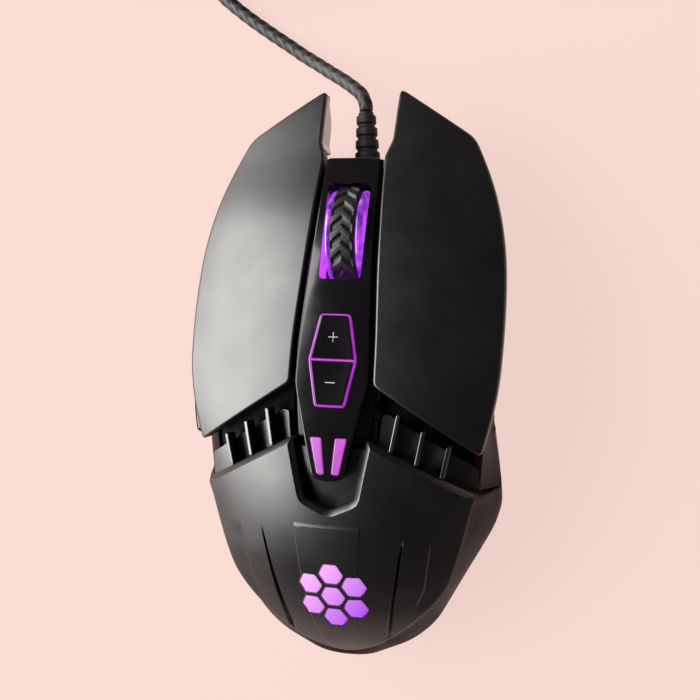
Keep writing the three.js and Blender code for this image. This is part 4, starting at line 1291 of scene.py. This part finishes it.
def add_bottom():
    """The lower tray: rounded underneath, open above, with the sensor window and screw holes."""
    outline = Outline(whole(RIDGE), 0.9)
    levels = [(2.15, 3.0), (2.0, 4.5), (1.9, SPLIT - 0.35), (1.7, SPLIT - 0.15), (0.4, SPLIT - 0.15),
              (0.22, SPLIT - 0.35), (0.45, 5.2), (0.85, 3.4), (1.4, 2.2), (2.1, 1.35), (2.9, 1.0)]
    skin = Skin()
    rings = []
    for inset, z in levels:
        rings.append([
            (x, y, min(z, 5.2) if abs(x) < 3.3 and y > 40 else z) for x, y in outline.ring(inset)
        ])
    skin.loft(rings)
    holes = [Outline(rectangle(-5, 5, -3.5, 3.5, 0.8), 0.6).ring()]
    for x, y in ((-16, -40), (16, -40), (-17.5, 11.2), (17.5, 11.2)):
        holes.append(np.array([(x + 3 * math.cos(a), y + 3 * math.sin(a))
                               for a in (k * math.tau / 24 for k in range(24))]))
    skin.fill(rings[0], lambda x, y: 3.0, 4, holes)
    skin.fill(rings[-1], lambda x, y: 1.0, 4, holes, up=False)
    for hole in holes:
        skin.bridge([(x, y, 3.0) for x, y in hole], [(x, y, 1.0) for x, y in hole])
    done(skin.build("lower_tray", SATIN, 28), "mouse_body", "bottom_shell", slot="satin_black")


add_bottom()

# ---------------------------------------------------------------- spine, its buttons and lights

DPI_SLOPE = math.atan2(crest(DPI_Y - 9) - crest(DPI_Y + 9), 18)
DPI_HIGH = top(0, DPI_Y) - 0.4
HEXAGON = [(4.9, 0), (3.05, 9.4), (-3.05, 9.4), (-4.9, 0), (-3.05, -9.4), (3.05, -9.4)]
UPPER = [(4.9, -0.12), (3.05, 9.4), (-3.05, 9.4), (-4.9, -0.12)]
LIGHT_BAR = [(-3.7, -11.2), (-1.5, -11.2), (-0.8, -18.5), (-2.2, -18.5)]
SLOT = [(4.6, 41.5, 1.2), (-4.6, 41.5, 1.2), (-4.45, 20.8, 1.2), (4.45, 20.8, 1.2)]


def dpi_place(x, y, z):
    """From the resolution buttons' own tilted frame."""
    cos, sin = math.cos(-DPI_SLOPE), math.sin(-DPI_SLOPE)
    return x, DPI_Y + y * cos - z * sin, DPI_HIGH + y * sin + z * cos


def add_spine():
    outline = Outline([(x, y, leg) for x, y, leg in whole(SPINE)], 0.7)
    hexagon_hole = Outline([(*dpi_place(x, y, 0.2)[:2], 0.7) for x, y in HEXAGON], 0.4).ring(-0.2)
    slot = Outline(SLOT, 0.5).ring()
    bars = [Outline([(*p, 0.25) for p in bar], 0.4).ring(-0.15) for bar in (LIGHT_BAR, mirror(LIGHT_BAR))]
    skin = sheet_of(outline, -0.2, 0.35, 2.6, 1.3, 2.0, 1.3, holes=[hexagon_hole, slot, *bars])
    for side in (-1, 1):
        lip = [(5.4, 47.2, 0.3), (6.25, 47.2, 0.3), (7.15, 24.7, 3), (8.05, 8.4, 3), (8.1, -0.4, 0.3),
               (5.5, -0.4, 0.3)]
        lip = Outline(lip if side > 0 else mirror(lip), 0.8)
        skin.pile(lip, [(0, over_top(-3.4)), (0, over_top(-1.7))], 2, 1.2)
    shroud = Outline(SLOT, 0.5)
    rows = [with_height(shroud.ring(a), over_top(-b))
            for a, b in ((-0.4, 2.0), (-0.4, 7.5), (-0.75, 7.5), (-0.75, 2.0))]
    skin.loft(rows, round_again=True)
    front = Outline([(-5.7, 12.6, 0.8), (5.7, 12.6, 0.8), (5.7, 23.0, 0.5), (-5.7, 23.0, 0.5)], 0.8)
    skin.place = lambda u, v, w: (u, w, v)
    stack(skin, front, [(0.3, 45.5), (0.0, 45.8), (0.0, 46.9), (0.3, 47.2)])
    done(skin.build("spine_plate", GLOSS, 40), "mouse_body", "spine_cover", slot="gloss_black")


add_spine()


def painted_slot_glow_material():
    """Painted light: the slot's walls glow purple, brightest at the rear end, with lighter streaks, under a
    glossy coat.
    """
    m = Nodes("painted_slot_glow")
    split = m.add("ShaderNodeSeparateXYZ")
    m.link(m.where, split.inputs["Vector"])
    value = m.ramp(split.outputs["Y"], 0.026, 0.0405, 1.0, 0.0)
    m.link(m.mix(value, (0.0, 0.0, 0.0), (0.52, 0.06, 0.80)), m.shader.inputs["Emission Color"])
    m.link(m.mix(m.ramp(m.noise(420, 2), 0.4, 0.65), (0.010, 0.004, 0.02), (0.10, 0.04, 0.14)),
           m.shader.inputs["Base Color"])
    m.set(Emission_Strength=1.3, Roughness=0.12, Coat_Weight=1.0)
    return m.material


def add_painted_slot_glow():
    """A glowing lining of the wheel's slot under its edge: painted light on the slot's walls."""
    frame = Outline(SLOT, 0.5)
    skin = Skin()
    rows = [with_height(frame.ring(a), over_top(-b))
            for a, b in ((0.02, 0.75), (-0.02, 6.6), (-0.38, 6.6), (-0.38, 2.0), (-0.05, 0.75))]
    skin.loft(rows, round_again=True)
    done(skin.build("slot_painted_glow", painted_slot_glow_material()), "mouse_body", slot="lit_purple")


add_painted_slot_glow()


def add_dpi():
    """The lit ring and its two crowned buttons with generic plus and minus marks."""
    ring = Outline([(*p, 0.7) for p in HEXAGON], 0.35)
    windows = [Outline([(*p, 0.4) for p in points], 0.35).ring(0.26)
               for points in (UPPER, mirror([(x, -y) for x, y in UPPER]))]
    skin = Skin(dpi_place)
    levels = [(0.0, -1.8), (0.0, 0.02), (0.06, 0.1), (0.16, 0.14)]
    rows = [[(x, y, z) for x, y in ring.ring(inset)] for inset, z in levels]
    skin.loft(rows)
    skin.fill(rows[-1], lambda x, y: 0.14, 0.8, windows)
    skin.fill(rows[0], lambda x, y: -1.8, 2.0, windows, up=False)
    for window in windows:
        skin.bridge([(x, y, 0.14) for x, y in window], [(x, y, -1.8) for x, y in window])
    done(skin.build("dpi_ring", PURPLE), "mouse_body", "dpi_light_ring", slot="lit_purple")

    for name, sign in (("up", 1), ("down", -1)):
        points = [(x, sign * y, 0.9) for x, y in UPPER]
        outline = Outline(points if sign > 0 else points[::-1], 0.4)
        skin = Skin(dpi_place)
        middle = sign * 4.6

        def face(x, y, middle=middle, sign=sign):
            """A shallow dish that rises towards the outer end."""
            return 0.62 + 0.16 * ((y - middle) / 4.6) * sign - 0.14 * (1 - (x / 3.5) ** 2)

        rows = [[(x, y, -2.4) for x, y in outline.ring(0.4)]]
        for k in range(6):
            angle = math.pi / 2 * k / 5
            rows.append([(x, y, face(x, y) - 0.26 * (1 - math.sin(angle)))
                         for x, y in outline.ring(0.4 + 0.26 * (1 - math.cos(angle)))])
        skin.loft(rows)
        skin.fill(rows[0], lambda x, y: -2.4, 2, up=False)
        skin.fill(rows[-1], face, 0.45)
        stem = Outline(rectangle(-1.2, 1.2, middle - 1.2, middle + 1.2, 0.2), 0.8)
        stack(skin, stem, [(0, -8.2), (0, -2.3)])
        cap = skin.build(f"dpi_{name}_cap", GLOSS, 40)
        done(cap, f"dpi_{name}", f"dpi_{name}_button", slot="gloss_black")

        skin = Skin(dpi_place)
        arms = [(1.05, 0.11)] + ([(0.11, 1.05)] if sign > 0 else [])
        for wide, high in arms:
            mark = Outline(rectangle(-wide, wide, middle - high, middle + high, 0.08), 0.3)
            skin.pile(mark, [(0, lambda x, y: face(x, y) - 0.1), (0.03, lambda x, y: face(x, y) + 0.05)],
                      1, 0.4)
        done(skin.build(f"dpi_{name}_mark", PRINT), f"dpi_{name}", slot="gloss_black")


PRINT = moulded("printed_mark", (0.20, 0.19, 0.21), (0.28, 0.27, 0.29), 0.4, 0.05, 0.0, 1)


def add_light_bars():
    for name, bar in (("left", LIGHT_BAR), ("right", mirror(LIGHT_BAR))):
        outline = Outline([(*p, 0.3) for p in bar], 0.3)
        skin = Skin()
        levels = [(0.0, -3.4), (0.0, -0.42), (0.05, -0.32), (0.18, -0.26)]
        skin.pile(outline, [(inset, over_top(z)) for inset, z in levels], 2, 0.6)
        piece = skin.build(name + "_bar_light", BAR_LIGHT)
        done(piece, "mouse_body", "light_bar_" + name, slot="lit_purple")


BAR_LIGHT = glowing("lit_bar", (0.06, 0.02, 0.07), (0.62, 0.10, 0.70), 0.92)
add_dpi()
add_light_bars()

# ---------------------------------------------------------------- scroll wheel


def wheel_point(along, angle, radius):
    return (along, WHEEL_Y + radius * math.cos(angle), WHEEL_Z + radius * math.sin(angle))


def add_wheel():
    """A rubber tyre with chevron treads, on a lit hub with a rounded rim on each side."""
    treads = 19
    around, columns = treads * 12, 22
    half = 2.55
    skin = Skin()
    rows = []
    for i in range(around):
        angle = math.tau * i / around
        row = [wheel_point(-half, angle, WHEEL_R - 2)]
        for j in range(columns + 1):
            x = -half + 2 * half * j / columns
            edge = abs(x) / half
            phase = (treads * angle / math.tau - 0.62 * abs(x) / half) % 1
            rib = ease((0.34 - abs(phase - 0.5)) / 0.14)
            crown = WHEEL_R - 0.25 * edge ** 2 - 0.55 * max(0, (edge - 0.8) / 0.2) ** 2
            row.append(wheel_point(x, angle, crown - 0.6 * (1 - rib) * ease((0.95 - edge) / 0.2)))
        row.append(wheel_point(half, angle, WHEEL_R - 2))
        rows.append(row)
    for low, high in zip(rows, rows[1:] + rows[:1]):
        skin.bridge(high, low)
    done(skin.build("tyre", TYRE, 35), "wheel", "wheel_tyre", slot="rubber_black")

    skin = Skin()
    rim = WHEEL_R - 0.9
    profile = rounded_rows(
        [(-4.0, 1.7), (-4.0, rim - 1.2), (-3.5, rim), (-2.85, rim), (-2.75, WHEEL_R - 2.2),
         (2.75, WHEEL_R - 2.2), (2.85, rim), (3.5, rim), (4.0, rim - 1.2), (4.0, 1.7)], 0.5, 4)
    sides = 96
    rows = [[wheel_point(x, math.tau * k / sides, r) for x, r in profile] for k in range(sides)]
    skin.loft(rows, round_again=True)
    done(skin.build("hub", HUB), "wheel", "wheel_hub", slot="lit_purple")


TYRE = moulded("tyre_rubber", (0.0035, 0.0032, 0.0036), (0.0075, 0.0068, 0.0072), 0.5, 0.06, 0.00002, 1500,
               specular=0.3)


def hub_material():
    """Clear purple plastic over a light: dark swirls, bright streaks and a glossy skin."""
    m = Nodes("lit_hub")
    swirl = m.ramp(m.noise(260, 4, 0.6), 0.38, 0.68)
    m.link(m.mix(swirl, (0.09, 0.01, 0.28), (0.58, 0.08, 0.95)), m.shader.inputs["Emission Color"])
    m.link(m.mix(swirl, (0.02, 0.005, 0.05), (0.12, 0.06, 0.16)), m.shader.inputs["Base Color"])
    m.set(Emission_Strength=1.1, Roughness=0.15, Coat_Weight=0.6)
    return m.material


HUB = hub_material()
add_wheel()

# ---------------------------------------------------------------- feet and what is carried over


def add_feet():
    """Slippery film pads with rounded ends, let into the tray."""
    shapes = {
        "front_foot": [(-13, 41), (13, 41), (18, 37), (20, 39.5), (14, 44.6), (-14, 44.6),
                       (-20, 39.5), (-18, 37)],
        "rear_foot": [(-12, -53.6), (12, -53.6), (14, -50.6), (16, -51.6), (11.8, -56.4), (-11.8, -56.4),
                      (-16, -51.6), (-14, -50.6)],
    }
    for node, points in shapes.items():
        skin = Skin()
        outline = Outline([(*p, 1.4) for p in points], 0.7)
        stack(skin, outline, [(0.3, 0.0), (0.08, 0.06), (0.0, 0.2), (0.0, 0.95)])
        done(skin.build(node + "_pad", FOOT), "mouse_body", node, slot="foot_black")


add_feet()

CARRIED = {
    INNER: ["mid_frame", "wheel_guide_left", "wheel_guide_right"],
    STEEL: ["left_hinge_pin", "right_hinge_pin", "wheel_axle", "wheel_spring"]
    + [f"case_screw_{i}" for i in (1, 2, 3, 4)],
    BOARD: ["main_board", "dpi_board", "thumb_board"],
    LENS: ["sensor_lens"],
    CHIP: ["optical_sensor", "controller_chip", "left_switch", "right_switch", "wheel_encoder",
           "wheel_switch", "dpi_up_switch", "dpi_down_switch", "thumb_front_switch", "thumb_rear_switch"],
    NYLON: ["cable_socket", "emblem_led", "wheel_carriage"],
    RED: ["left_plunger", "right_plunger", "wheel_plunger", "thumb_front_plunger", "thumb_rear_plunger"],
}
for material, nodes in CARRIED.items():
    for node in nodes:
        piece = bpy.data.objects[node]
        piece.data.materials.clear()
        piece.data.materials.append(material)

# ---------------------------------------------------------------- floor and light


def add_floor():
    mesh = bpy.data.meshes.new("floor")
    far = 2.5
    mesh.from_pydata([(-far, -far, 0), (far, -far, 0), (far, far, 0), (-far, far, 0)], [], [(0, 1, 2, 3)])
    m = Nodes("floor_paper")
    m.link(m.mix(m.noise(6, 2), (0.040, 0.030, 0.028), (0.043, 0.033, 0.030)),
           m.shader.inputs["Base Color"])
    m.set(Roughness=0.95, Specular_IOR_Level=0.0, Emission_Color=(1.0, 0.75, 0.683, 1),
          Emission_Strength=0.84)
    mesh.materials.append(m.material)
    floor = bpy.data.objects.new("floor", mesh)
    bpy.context.scene.collection.objects.link(floor)


def add_light(name, place, aim, size, watts, colour):
    data = bpy.data.lights.new(name, "AREA")
    data.shape = "RECTANGLE"
    data.size, data.size_y = size
    data.energy = watts
    data.color = colour
    light = bpy.data.objects.new(name, data)
    light.location = place
    light.rotation_euler = (Vector(aim) - Vector(place)).to_track_quat("-Z", "Y").to_euler()
    bpy.context.scene.collection.objects.link(light)


add_floor()
add_light("window", (-0.80, 0.085, 0.60), (0, 0, 0), (1.45, 0.9), 64.0, (1.0, 0.985, 0.955))
add_light("fill", (0.9, 0.15, 0.22), (0, 0, 0), (0.5, 0.5), 0.25, (1.0, 0.90, 0.86))

world = bpy.data.worlds.new("room")
world.use_nodes = True
world.node_tree.nodes["Background"].inputs["Color"].default_value = (1.0, 0.90, 0.86, 1)
world.node_tree.nodes["Background"].inputs["Strength"].default_value = 0.06
bpy.context.scene.world = world
bpy.context.scene.view_settings.view_transform = "Standard"
